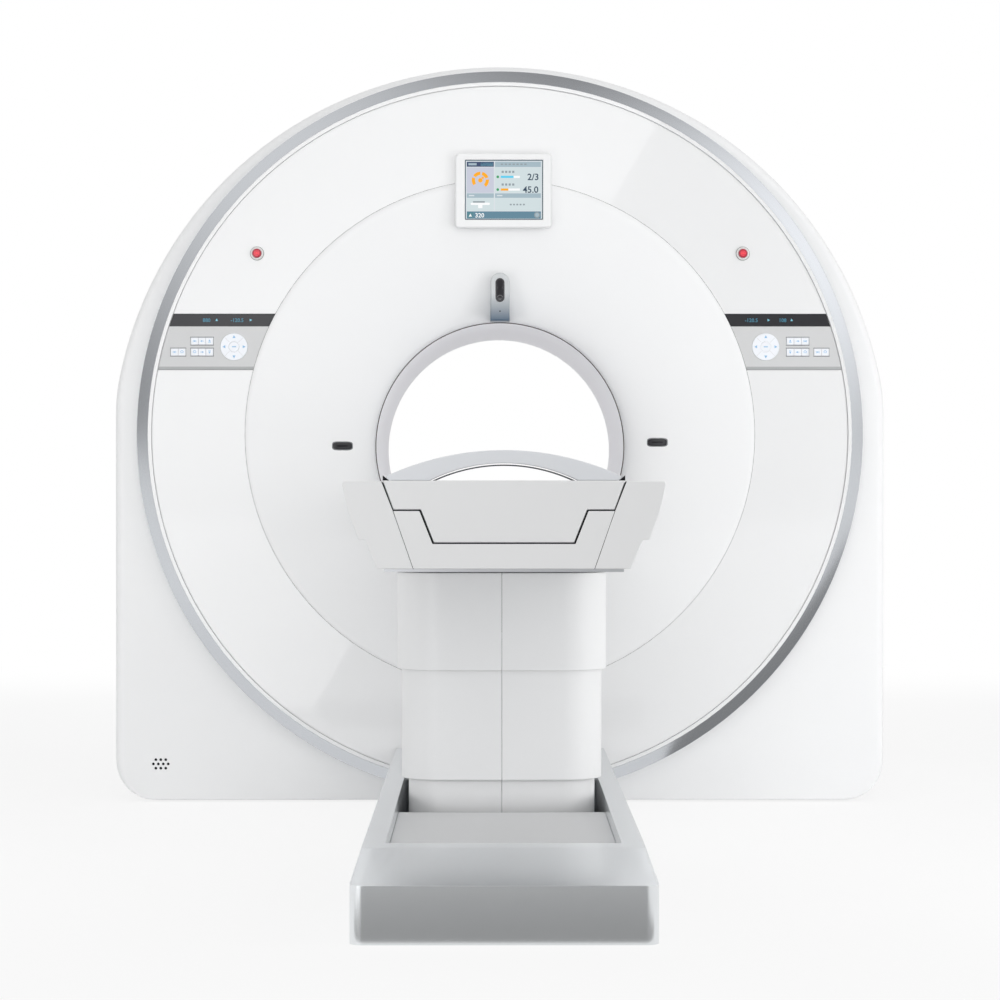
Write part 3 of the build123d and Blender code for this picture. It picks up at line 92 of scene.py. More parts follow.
class Nodes:
    """Short forms for building a node tree.

    Attributes:
        tree: the tree that nodes are added to.
    """

    def __init__(self, tree: bpy.types.NodeTree) -> None:
        """Keeps the tree and empties it."""
        self.tree = tree
        tree.nodes.clear()

    def add(self, kind: str, inputs: dict | None = None, **settings: object) -> bpy.types.Node:
        """Adds one node.

        Args:
            kind: the node's type name.
            inputs: socket names or places to values or to sockets that feed them.
            settings: the node's own properties.

        Returns:
            The new node.
        """
        node = self.tree.nodes.new(kind)
        for name, value in settings.items():
            setattr(node, name, value)
        for name, value in (inputs or {}).items():
            if isinstance(value, bpy.types.NodeSocket):
                self.tree.links.new(value, node.inputs[name])
            else:
                node.inputs[name].default_value = value
        return node

    def math(self, operation: str, first: object, second: object = 0.0) -> bpy.types.NodeSocket:
        """Adds a Math node and returns its result."""
        return self.add("ShaderNodeMath", {0: first, 1: second}, operation=operation).outputs[0]

    def noise(self, place: object, scale: object, detail: float = 2.0) -> bpy.types.NodeSocket:
        """Adds a Noise Texture and returns its tone."""
        inputs = {"Vector": place, "Scale": scale, "Detail": detail}
        return self.add("ShaderNodeTexNoise", inputs).outputs["Fac"]

    def mix_colour(self, factor: object, low: object, high: object) -> bpy.types.NodeSocket:
        """Adds a colour Mix and returns its result."""
        inputs = {"Factor": factor, "A": low, "B": high}
        return self.add("ShaderNodeMix", inputs, data_type="RGBA").outputs["Result"]

    def fade(self, value: object, start: float, end: float, low: float, high: float) -> bpy.types.NodeSocket:
        """Adds a smooth Map Range, from low at start to high at end, and returns its result."""
        inputs = {"Value": value, "From Min": start, "From Max": end, "To Min": low, "To Max": high}
        return self.add("ShaderNodeMapRange", inputs, interpolation_type="SMOOTHSTEP").outputs[0]


def surface_group(surface: Surface) -> bpy.types.NodeTree:
    """The shader group of one fine structure, built once.

    Args:
        surface: which structure.

    Returns:
        A group with Vector and Scale inputs, and Height and Tone outputs.
    """
    known = bpy.data.node_groups.get(surface.value)
    if known:
        return known
    tree = bpy.data.node_groups.new(surface.value, "ShaderNodeTree")
    nodes = Nodes(tree)
    sockets = (("Vector", "INPUT", "Vector"), ("Scale", "INPUT", "Float"))
    for label, way, kind in sockets + (("Height", "OUTPUT", "Float"), ("Tone", "OUTPUT", "Float")):
        tree.interface.new_socket(label, in_out=way, socket_type=f"NodeSocket{kind}")
    given = nodes.add("NodeGroupInput")
    place, scale = given.outputs["Vector"], given.outputs["Scale"]
    broad = nodes.noise(place, 2.6)
    if surface is Surface.FLAKE:
        cells = nodes.add("ShaderNodeTexVoronoi", {"Vector": place, "Scale": scale})
        fine = nodes.add("ShaderNodeSeparateColor", {"Color": cells.outputs["Color"]}).outputs["Red"]
    elif surface is Surface.BRUSHED:
        stretched = nodes.add("ShaderNodeMapping", {"Vector": place, "Scale": (0.02, 1.0, 1.0)})
        fine = nodes.noise(stretched.outputs[0], scale, 3.0)
    elif surface is Surface.TURNED:
        parts = nodes.add("ShaderNodeSeparateXYZ", {"Vector": place})
        x, z = parts.outputs["X"], parts.outputs["Z"]
        square = nodes.math("ADD", nodes.math("MULTIPLY", x, x), nodes.math("MULTIPLY", z, z))
        radius = nodes.math("SQRT", square)
        turn = nodes.math("MULTIPLY", nodes.math("ARCTAN2", z, x), 0.01)
        polar = nodes.add("ShaderNodeCombineXYZ", {"X": radius, "Y": turn, "Z": parts.outputs["Y"]})
        fine = nodes.noise(polar.outputs[0], scale, 3.0)
    else:
        fine = nodes.noise(place, scale, 1.0 if surface is Surface.PEEL else 4.0)
    share = 0.5 if surface in (Surface.FLAKE, Surface.BRUSHED, Surface.TURNED) else 0.15
    tone = nodes.math(
        "ADD", nodes.math("MULTIPLY", fine, share), nodes.math("MULTIPLY", broad, 1.0 - share)
    )
    nodes.add("NodeGroupOutput", {"Height": fine, "Tone": tone})
    return tree


@dataclass(frozen=True)
class Finish:
    """One procedural finish.

    Attributes:
        name: the material's name.
        slot: the record's material slot it stands for; not used.
        colour: the linear colour.
        roughness: the mean roughness.
        surface: the fine structure.
        scale: how fine that structure is.
        depth: the height of its bumps, in metres.
        spread: how far the colour varies, as a share.
        metallic: 1 for bare metal and metallic paint.
        coat: weight of a clear coat.
        glow: emission strength, 0 for none.
        specular: how strongly the bare surface mirrors, 0.5 for plain plastic.
        turn: how the structure's directions lie on the piece.
        centre: the point that a turned structure runs round.
    """

    name: str
    slot: str
    colour: Colour
    roughness: float
    surface: Surface = Surface.GRAIN
    scale: float = 900.0
    depth: float = 0.00001
    spread: float = 0.02
    metallic: float = 0.0
    coat: float = 0.0
    glow: float = 0.0
    specular: float = 0.5
    turn: tuple[float, float, float] = (0.0, 0.0, 0.0)
    centre: tuple[float, float, float] = (0.0, 0.0, 0.0)

    def material(self) -> bpy.types.Material:
        """The finish's material, built once.

        Returns:
            The Blender material.
        """
        known = bpy.data.materials.get(self.name)
        if known:
            return known
        made = bpy.data.materials.new(self.name)
        made.use_nodes = True
        nodes = Nodes(made.node_tree)
        place = nodes.add("ShaderNodeTexCoord").outputs["Object"]
        shift = [-c for c in self.centre]
        moved = nodes.add("ShaderNodeMapping", {"Vector": place, "Location": shift, "Rotation": self.turn})
        group = nodes.add(
            "ShaderNodeGroup",
            {"Vector": moved.outputs[0], "Scale": self.scale},
            node_tree=surface_group(self.surface),
        ).outputs
        colour = self.colour_socket(nodes, place, group["Tone"])
        swing = 3 * self.spread
        smooth, coarse = self.roughness * (1 - swing), self.roughness * (1 + swing)
        rough = nodes.add("ShaderNodeMapRange", {"Value": group["Tone"], "To Min": smooth, "To Max": coarse})
        bump = nodes.add(
            "ShaderNodeBump", {"Height": group["Height"], "Strength": 1.0, "Distance": self.depth}
        )
        inputs = {
            "Base Color": colour, "Roughness": rough.outputs[0], "Normal": bump.outputs[0],
            "Metallic": self.metallic, "Coat Weight": self.coat, "Coat Roughness": COAT_ROUGHNESS,
            "Specular IOR Level": self.specular,
        }
        if self.glow:
            inputs |= {"Base Color": UNLIT, "Emission Color": colour, "Emission Strength": self.glow}
        shader = nodes.add("ShaderNodeBsdfPrincipled", inputs)
        nodes.add("ShaderNodeOutputMaterial", {"Surface": shader.outputs[0]})
        return made

    def colour_socket(
        self, nodes: Nodes, place: bpy.types.NodeSocket, tone: bpy.types.NodeSocket
    ) -> bpy.types.NodeSocket:
        """The varied colour.

        Args:
            nodes: the material's tree.
            place: the Object coordinates.
            tone: the structure's tone, from 0 to 1.

        Returns:
            The socket that feeds the base colour.
        """
        low = [c * (1 - self.spread) for c in self.colour] + [1.0]
        high = [min(1.0, c * (1 + self.spread)) for c in self.colour] + [1.0]
        return nodes.mix_colour(tone, low, high)


@dataclass(frozen=True)
class FadedFinish(Finish):
    """A finish whose colour runs to another one down the piece; on the laser pod this darkening paints shade.

    Attributes:
        lower: the colour at the lower end.
        top_z: height above which the upper colour is full.
        bottom_z: height below which the lower colour is full.
    """

    lower: Colour = (0.5, 0.5, 0.5)
    top_z: float = 1.0
    bottom_z: float = 0.0

    def colour_socket(
        self, nodes: Nodes, place: bpy.types.NodeSocket, tone: bpy.types.NodeSocket
    ) -> bpy.types.NodeSocket:
        """The colour, faded by height. See the parent class."""
        upper = super().colour_socket(nodes, place, tone)
        height = nodes.add("ShaderNodeSeparateXYZ", {"Vector": place}).outputs["Z"]
        fade = nodes.add(
            "ShaderNodeMapRange", {"Value": height, "From Min": self.bottom_z, "From Max": self.top_z}
        ).outputs[0]
        return nodes.mix_colour(fade, [*self.lower, 1.0], upper)


DISC_RADIUS = round_of("trim_ring")[2]
DISC_CENTRE = (0.0, 0.0, round_of("trim_ring")[1])
QUARTER = math.pi / 2

HOUSING = Finish(
    "housing_lacquer", "white_cover", (0.875, 0.88, 0.885), 0.4, Surface.PEEL, 260, 0.00002, 0.012,
    specular=0.3,
)
FASCIA = Finish(
    "fascia_gloss", "white_fascia", (0.83, 0.835, 0.84), 0.3, Surface.PEEL, 180, 0.000003, 0.006, coat=1.0
)
BELL = Finish(
    "bell_satin", "white_fascia", (0.88, 0.885, 0.89), 0.45, Surface.PEEL, 220, 0.00001, 0.008, specular=0.35
)
MOULDING = Finish(
    "white_moulding", "white_plastic", (0.85, 0.855, 0.86), 0.38, Surface.GRAIN, 1400, 0.00002, 0.012
)
# A shade darker than the white moulding: painted shade, so that the collar stands apart from the fascia.
COLLAR = Finish("stop_collar", "white_plastic", (0.80, 0.79, 0.79), 0.3, Surface.GRAIN, 1600, 0.00001, 0.02)
BORE = Finish("bore_liner", "white_plastic", (0.83, 0.825, 0.865), 0.3, Surface.GRAIN, 700, 0.00001, 0.02)
RING = Finish(
    "ring_satin", "silver_trim", (0.60, 0.62, 0.65), 0.2, Surface.TURNED, 900, 0.000008, 0.05,
    metallic=1.0, centre=DISC_CENTRE,
)
BASE_PAINT = Finish(
    "base_silver", "silver_paint", (0.80, 0.82, 0.835), 0.24, Surface.FLAKE, 1600, 0.000008, 0.05,
    metallic=1.0,
)
PANEL = Finish("panel_satin", "grey_panel", (0.61, 0.615, 0.62), 0.42, Surface.GRAIN, 1100, 0.00001, 0.02)
KEY = Finish("key_white", "white_keys", (0.86, 0.885, 0.93), 0.3, Surface.GRAIN, 1300, 0.000006, 0.015)
KEY_MARK = Finish("key_print", "white_keys", (0.27, 0.50, 0.74), 0.5, spread=0.03)
KEY_LINE = Finish("key_divider", "white_keys", (0.55, 0.53, 0.54), 0.5, spread=0.03)
# Near-black frames round the keys and the floor between them: painted shade for the keys' gaps.
KEY_GAP_SHADE = Finish("key_gap_painted_shade", "grey_panel", (0.10, 0.11, 0.13), 0.5, spread=0.05)
RED = Finish(
    "stop_red", "red_button", (0.50, 0.012, 0.04), 0.28, Surface.GRAIN, 1500, 0.000006, 0.05, coat=0.6
)
RED_FACE = Finish(
    "stop_red_face", "red_button", (0.92, 0.07, 0.10), 0.4, Surface.GRAIN, 1500, 0.000006, 0.05
)
BLACK = Finish(
    "black_glass", "black_glass", (0.002, 0.002, 0.003), 0.3, Surface.PEEL, 120, 0.000002, 0.05, specular=0.12
)
# Near-black for dark parts such as the intercom cloth and the pod's dot, and painted shade laid into seams,
# gaps and joints.
DARK_PARTS_AND_GAP_SHADE = Finish("dark_parts_and_gap_shade", "black_glass", (0.012, 0.012, 0.015), 0.7, spread=0.05, specular=0.15)
# Painted shade for the gap at the bell's lip.
LIP_GAP_SHADE = Finish("lip_gap_shade", "black_glass", (0.13, 0.115, 0.11), 0.6, spread=0.05)
# Painted shadow line at the control panel's foot, and painted shade on its downward-facing lower bevel.
PANEL_FOOT_SHADOW = Finish("panel_foot_painted_shadow", "grey_panel", (0.24, 0.245, 0.25), 0.5, spread=0.03)
BEVEL = Finish("panel_bevel_painted_shade", "grey_panel", (0.40, 0.41, 0.415), 0.45, Surface.GRAIN, 1100, 0.00001, 0.02)
# Near-black head plate: painted shadow for the shade under the couch top.
HEAD_PLATE_SHADOW = Finish("head_plate_painted_shadow", "steel", (0.05, 0.052, 0.056), 0.5, Surface.GRAIN, 700, 0.00003, 0.05)
SEAM = Finish("seam_seal_grey", "black_glass", (0.22, 0.225, 0.235), 0.6, spread=0.08)
# Laser pod: light grey above, fading to dark blue-grey at its foot, which is painted shade on the lower
# front.
POD_PAINTED_SHADE = FadedFinish(
    "pod_painted_shade", "white_plastic", (0.58, 0.60, 0.61), 0.35, Surface.GRAIN, 1300, 0.00001, 0.015,
    lower=(0.06, 0.105, 0.16), top_z=1.43, bottom_z=1.353,
)
# Painted shade for the underside of the handle's arch.
HANDLE_UNDERSIDE_SHADE = Finish("handle_underside_shade", "pallet_laminate", (0.055, 0.06, 0.07), 0.6, spread=0.05)
# Grey ring of painted shadow round the stop collars.
COLLAR_SHADOW = Finish("collar_painted_shadow", "grey_panel", (0.30, 0.33, 0.31), 0.6, spread=0.05)
SMOKED = Finish(
    "smoked_window", "black_glass", (0.012, 0.011, 0.014), 0.2, Surface.PEEL, 300, 0.000002, 0.05,
    specular=0.2,
)
LENS = Finish("laser_lens", "black_glass", (0.12, 0.12, 0.125), 0.15, Surface.PEEL, 300, 0.000002, 0.05)
BEZEL = Finish("window_bezel", "white_plastic", (0.74, 0.75, 0.76), 0.35, Surface.GRAIN, 1500, 0.00001, 0.02)
LAMINATE = Finish(
    "pallet_laminate", "pallet_laminate", (0.66, 0.70, 0.76), 0.3, Surface.PEEL, 500, 0.00001, 0.02, coat=0.3
)
STEEL = Finish(
    "frame_paint", "steel", (0.32, 0.34, 0.37), 0.45, Surface.GRAIN, 500, 0.00003, 0.06, metallic=0.4
)
ALLOY = Finish(
    "machined_alloy", "alloy", (0.66, 0.67, 0.69), 0.3, Surface.TURNED, 1200, 0.00002, 0.06,
    metallic=1.0, centre=(0, 0, 1.0),
)
EXTRUDED = Finish(
    "drawn_alloy", "alloy", (0.50, 0.51, 0.53), 0.34, Surface.BRUSHED, 900, 0.00001, 0.05,
    metallic=1.0, turn=(0, 0, QUARTER),
)
UNIT = Finish("unit_paint", "dark_unit", (0.035, 0.038, 0.045), 0.5, Surface.GRAIN, 700, 0.00004, 0.08)
FILTER = Finish("vent_filter", "dark_unit", (0.07, 0.072, 0.078), 0.9, Surface.GRAIN, 500, 0.0004, 0.3)


def screen_tone(name: str, colour: Colour) -> Finish:
    """A lit colour of the display.

    Args:
        name: the colour's name.
        colour: its linear colour.

    Returns:
        The finish.
    """
    lit = {"glow": 1.0, "specular": 0.1}
    return Finish(f"screen_{name}", "screen_glass", colour, 0.3, Surface.PEEL, 400, 0.000001, 0.03, **lit)


EDGE_TONE = screen_tone("edge", (0.055, 0.115, 0.155))
NAVY = screen_tone("navy", (0.035, 0.06, 0.14))
HEADER = screen_tone("header", (0.36, 0.47, 0.53))
LILAC = screen_tone("lilac", (0.56, 0.58, 0.68))
PALE = screen_tone("pale", (0.62, 0.71, 0.73))
MIST = screen_tone("mist", (0.68, 0.73, 0.76))
STEEL_BLUE = screen_tone("steel_blue", (0.11, 0.23, 0.31))
PAPER = screen_tone("white", (0.93, 0.94, 0.95))
CYAN = screen_tone("cyan", (0.10, 0.60, 0.84))
AMBER = screen_tone("amber", (1.0, 0.40, 0.0))
INK = screen_tone("ink", (0.02, 0.05, 0.09))
GREEN = screen_tone("green", (0.04, 0.32, 0.12))
GREY_TONE = screen_tone("grey", (0.28, 0.33, 0.36))
LED = Finish("bar_digits", "screen_glass", (0.03, 0.20, 0.30), 0.3, spread=0.05, glow=1.0)
LED_BRIGHT = Finish("bar_pointer", "screen_glass", (0.20, 0.55, 0.68), 0.3, spread=0.05, glow=1.0)


# Mesh helpers


def linked(name: str, data: bpy.types.ID) -> bpy.types.Object:
    """A new object in the scene that shows the data."""
    made = bpy.data.objects.new(name, data)
    bpy.context.scene.collection.objects.link(made)
    return made


def from_bmesh(name: str, bm: bmesh.types.BMesh) -> bpy.types.Object:
    """Turns a bmesh into a linked object as it is, and frees it."""
    mesh = bpy.data.meshes.new(name)
    bm.to_mesh(mesh)
    bm.free()
    return linked(name, mesh)


def discard(made: bpy.types.Object) -> None:
    """Removes an object and its mesh."""
    mesh = made.data
    bpy.data.objects.remove(made)
    bpy.data.meshes.remove(mesh)


def plain_mesh(made: bpy.types.Object) -> bpy.types.Mesh:
    """A new mesh of what an object's modifiers or its curve make."""
    depsgraph = bpy.context.evaluated_depsgraph_get()
    return bpy.data.meshes.new_from_object(made.evaluated_get(depsgraph), depsgraph=depsgraph)


def to_object(name: str, bm: bmesh.types.BMesh, smooth: bool = True) -> bpy.types.Object:
    """Turns a bmesh into a linked object with outward normals.

    Args:
        name: the object's name.
        bm: the mesh, which is freed.
        smooth: whether its faces are smooth-shaded.

    Returns:
        The new object.
    """
    bmesh.ops.remove_doubles(bm, verts=bm.verts, dist=0.000001)
    bmesh.ops.recalc_face_normals(bm, faces=bm.faces)
    for face in bm.faces:
        face.smooth = smooth
    return from_bmesh(name, bm)


def applied(made: bpy.types.Object) -> bpy.types.Object:
    """The object with its modifiers turned into plain mesh.

    Args:
        made: the object.

    Returns:
        The same object.
    """
    mesh = plain_mesh(made)
    made.modifiers.clear()
    old = made.data
    made.data = mesh
    mesh.name = made.name
    bpy.data.meshes.remove(old)
    return made


def eased(made: bpy.types.Object, width: float, segments: int = 3, limit: float = 28.0) -> bpy.types.Object:
    """Rounds the sharp edges and evens the shading.

    Args:
        made: the object.
        width: the rounding's width.
        segments: how many faces make it.
        limit: edges bent by fewer degrees stay.

    Returns:
        The same object, with its modifiers applied.
    """
    if width:
        bevel = made.modifiers.new("edge", "BEVEL")
        bevel.width = width
        bevel.segments = segments
        bevel.limit_method = "ANGLE"
        bevel.angle_limit = math.radians(limit)
        bevel.use_clamp_overlap = True
        bevel.harden_normals = False
    made.data.set_sharp_from_angle(angle=math.radians(40.0))
    weighted = made.modifiers.new("shading", "WEIGHTED_NORMAL")
    weighted.keep_sharp = True
    weighted.weight = 60
    return applied(made)


def placed(
    made: bpy.types.Object, finish: Finish, body: str = "root", replaces: Iterable[str] = ()
) -> bpy.types.Object:
    """Gives a finished piece its material, its body and the nodes it stands for.

    Args:
        made: the piece.
        finish: its finish.
        body: the body it moves with.
        replaces: the nodes that it stands for.

    Returns:
        The same object.
    """
    made.data.materials.clear()
    made.data.materials.append(finish.material())
    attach(made, body)
    names = list(replaces)
    if names:
        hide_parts(*names)
    LOG.info("%s rides on %s", made.name, body)
    return made


def band(
    bm: bmesh.types.BMesh, row: Sequence[bmesh.types.BMVert], following: Sequence[bmesh.types.BMVert]
) -> None:
    """Adds the faces between two closed rows of the same length."""
    for k in range(len(row)):
        after = (k + 1) % len(row)
        bm.faces.new((row[k], row[after], following[after], following[k]))


def prism(
    bm: bmesh.types.BMesh, outline: Sequence[Point], front_y: float, back_y: float
) -> list[bmesh.types.BMFace]:
    """Adds a flat plate that faces the couch.

    Args:
        bm: the mesh that it is added to.
        outline: its corners in X and Z.
        front_y: its front face.
        back_y: its back face.

    Returns:
        Its faces.
    """
    front = [bm.verts.new((x, front_y, z)) for x, z in outline]
    back = [bm.verts.new((x, back_y, z)) for x, z in outline]
    faces = [bm.faces.new(front), bm.faces.new(list(reversed(back)))]
    for k in range(len(front)):
        after = (k + 1) % len(front)
        faces.append(bm.faces.new((front[k], back[k], back[after], front[after])))
    return faces


def ring_surface(sections: Sequence[Sequence[Vector]]) -> bmesh.types.BMesh:
    """A closed surface through closed sections, the last joined to the first.

    Args:
        sections: loops of points, all of the same length.

    Returns:
        The mesh.
    """
    bm = bmesh.new()
    rows = [[bm.verts.new(p) for p in section] for section in sections]
    for place, row in enumerate(rows):
        band(bm, row, rows[(place + 1) % len(rows)])
    return bm


def lathe(name: str, profile: Sequence[tuple[float, float, float]], segments: int = 240) -> bpy.types.Object:
    """Turns a closed profile about the Y direction.

    Args:
        name: the object's name.
        profile: points as radius, Y and the centre's height.
        segments: steps round the turn.

    Returns:
        The turned object.
    """
    sections = []
    for step in range(segments):
        angle = FULL_TURN * step / segments
        c, s = math.cos(angle), math.sin(angle)
        sections.append([Vector((r * c, y, z + r * s)) for r, y, z in profile])
    return to_object(name, ring_surface(sections))


def slab(name: str, outline: Sequence[Point], front_y: float, back_y: float) -> bpy.types.Object:
    """A flat plate as an object of its own. See prism for the outline and the faces."""
    bm = bmesh.new()
    prism(bm, outline, front_y, back_y)
    return to_object(name, bm, smooth=False)


def joined(name: str, pieces: Sequence[bpy.types.Object]) -> bpy.types.Object:
    """Several plain meshes as one object.

    Args:
        name: the new object's name.
        pieces: the objects, which are removed.

    Returns:
        The joined object.
    """
    bm = bmesh.new()
    for piece in pieces:
        bm.from_mesh(piece.data)
        discard(piece)
    return from_bmesh(name, bm)


def rectangle(x: float, z: float, width: float, height: float) -> list[Point]:
    """The corners of a rectangle about its centre."""
    w, h = width / 2, height / 2
    return [(x - w, z - h), (x + w, z - h), (x + w, z + h), (x - w, z + h)]


def oval(x: float, z: float, width: float, height: float, steps: int = 12) -> list[Point]:
    """A rectangle with fully round ends along its longer side.

    Args:
        x: the centre's X.
        z: the centre's Z.
        width: size along X.
        height: size along Z.
        steps: points on each half circle.

    Returns:
        The outline.
    """
    radius = min(width, height) / 2
    reach_x, reach_z = width / 2 - radius, height / 2 - radius
    points = []
    for step in range(2 * steps):
        angle = FULL_TURN * (step + 0.5) / (2 * steps)
        c, s = math.cos(angle), math.sin(angle)
        middle_x, middle_z = x + math.copysign(reach_x, c), z + math.copysign(reach_z, s)
        points.append((middle_x + radius * c, middle_z + radius * s))
    return points


def cushion(
    x: float, z: float, width: float, height: float, power: float = 4.0, steps: int = 48
) -> list[Point]:
    """A rectangle with soft corners, after the superellipse's formula."""
    points = []
    for step in range(steps):
        turn = FULL_TURN * (step + 0.5) / steps
        c, s = math.cos(turn), math.sin(turn)
        reach_x = math.copysign(abs(c) ** (2 / power), c)
        reach_z = math.copysign(abs(s) ** (2 / power), s)
        points.append((x + width / 2 * reach_x, z + height / 2 * reach_z))
    return points


def on_circle(x: float, z: float, radius: float, turn: float) -> Point:
    """The place on a circle at a turn in radians."""
    return x + radius * math.cos(turn), z + radius * math.sin(turn)


def circle(x: float, z: float, radius: float, steps: int = 24) -> list[Point]:
    """A circle's outline."""
    return [on_circle(x, z, radius, FULL_TURN * step / steps) for step in range(steps)]


def arc_band(
    x: float, z: float, outer: float, inner: float, start: float, end: float, steps: int = 16
) -> list[Point]:
    """The outline of a stretch of a ring.

    Args:
        x: the ring's centre in X.
        z: the ring's centre in Z.
        outer: its outer radius.
        inner: its inner radius.
        start: where it starts, in degrees.
        end: where it ends, in degrees.
        steps: points along each arc.

    Returns:
        The outline.
    """
    turns = [math.radians(start + (end - start) * step / steps) for step in range(steps + 1)]
    far = [on_circle(x, z, outer, turn) for turn in turns]
    return far + [on_circle(x, z, inner, turn) for turn in reversed(turns)]


def triangle(x: float, z: float, size: float, turn: float) -> list[Point]:
    """A small arrowhead that points along turn, in degrees."""
    return [on_circle(x, z, size, math.radians(turn + step)) for step in (0, 125, 235)]


@dataclass
class Print:
    """Thin flat shapes on a face that looks at the couch, as one piece.

    Attributes:
        name: the piece's name.
        face_y: the face that the shapes lie on.
        thickness: each shape's thickness, and the step from one layer to the next.
        shapes: outlines with their finish and layer.
        words: lines of figures with their place, height, finish and layer.
        weight: how much bolder the figures are drawn, as a share of their height.
    """

    name: str
    face_y: float
    thickness: float = 0.00015
    shapes: list[tuple[Sequence[Point], Finish, int]] = field(default_factory=list)
    words: list[tuple[str, float, float, float, Finish, int]] = field(default_factory=list)
    weight: float = 0.022

    def add(self, outline: Sequence[Point], finish: Finish, layer: int = 0) -> None:
        """Adds one shape."""
        self.shapes.append((outline, finish, layer))

    def write(self, figures: str, x: float, z: float, height: float, finish: Finish, layer: int = 1) -> None:
        """Adds a line of figures, from its left end and base line."""
        self.words.append((figures, x, z, height, finish, layer))

    def figures_mesh(self, figures: str, x: float, z: float, height: float, layer: int) -> bpy.types.Mesh:
        """Plain figures as a closed mesh in their place."""
        curve = bpy.data.curves.new("figures", "FONT")
        curve.body = figures
        curve.size = height / 0.73
        curve.extrude = self.thickness / 2
        curve.offset = height * self.weight
        curve.resolution_u = 3
        made = linked("figures", curve)
        mesh = plain_mesh(made)
        bpy.data.objects.remove(made)
        bpy.data.curves.remove(curve)
        y = self.face_y - self.thickness * (layer + 0.5)
        mesh.transform(Matrix.Translation((x, y, z)) @ Matrix.Rotation(QUARTER, 4, "X"))
        return mesh

    def build(self, body: str, slot: str, onto: bpy.types.Object | None = None) -> bpy.types.Object:
        """Makes the piece.

        Args:
            body: the body it moves with.
            slot: the record's material slot; not used.
            onto: a finished piece that the shapes are joined to, with its finish kept.

        Returns:
            The new piece, or the piece that the shapes were joined to.
        """
        bm = bmesh.new()
        finishes: list[Finish] = []
        first = 0
        if onto:
            bm.from_mesh(onto.data)
            first = len(onto.data.materials)

        def index(finish: Finish) -> int:
            """The material index of a finish."""
            if finish not in finishes:
                finishes.append(finish)
            return first + finishes.index(finish)

        for outline, finish, layer in self.shapes:
            near = self.face_y - self.thickness * (layer + 1)
            made = prism(bm, outline, near, near + self.thickness)
            bmesh.ops.recalc_face_normals(bm, faces=made)
            for face in made:
                face.material_index = index(finish)
        for figures, x, z, height, finish, layer in self.words:
            mesh = self.figures_mesh(figures, x, z, height, layer)
            known = len(bm.faces)
            bm.from_mesh(mesh)
            bm.faces.ensure_lookup_table()
            for face in bm.faces[known:]:
                face.material_index = index(finish)
                face.smooth = False
            bpy.data.meshes.remove(mesh)
        if onto:
            bm.to_mesh(onto.data)
            bm.free()
            for finish in finishes:
                onto.data.materials.append(finish.material())
            return onto
        piece = from_bmesh(self.name, bm)
        for finish in finishes:
            piece.data.materials.append(finish.material())
        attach(piece, body)
        LOG.info("%s rides on %s", piece.name, body)
        return piece


def merged_node(node: str) -> bmesh.types.BMesh:
    """A copy of a node's mesh, merged and with its flat faces joined."""
    bm = bmesh.new()
    bm.from_mesh(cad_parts[node].data)
    bmesh.ops.remove_doubles(bm, verts=bm.verts, dist=MERGE_REACH)
    bmesh.ops.dissolve_limit(bm, angle_limit=FLAT_BEND, verts=bm.verts, edges=bm.edges)
    return bm


def from_node(node: str, edge: float, segments: int = 3, limit: float = 28.0) -> bpy.types.Object:
    """A finer version of a node: merged, its flat faces joined and its edges rounded.

    Args:
        node: the node's name.
        edge: the width of its rounded edges.
        segments: faces across a rounded edge.
        limit: the least bend in degrees that is rounded.

    Returns:
        The new object.
    """
    return eased(to_object(f"{node}_dressed", merged_node(node)), edge, segments, limit)


def dress(
    nodes: Iterable[str], finish: Finish, edge: float, body: str = "root", **options: float
) -> list[bpy.types.Object]:
    """Replaces nodes by their finer versions.

    Args:
        nodes: the nodes' names.
        finish: their finish.
        edge: the width of their rounded edges.
        body: the body they move with.
        options: further options of from_node.

    Returns:
        The new objects.
    """
    return [placed(from_node(node, edge, **options), finish, body, [node]) for node in nodes]


def coat(nodes: Iterable[str], finish: Finish) -> None:
    """Gives nodes that keep their own mesh a finish.

    Args:
        nodes: the nodes' names.
        finish: their finish.
    """
    for node in nodes:
        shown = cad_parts[node]
        shown.data.materials.clear()
        shown.data.materials.append(finish.material())


# Repeats made by Geometry Nodes


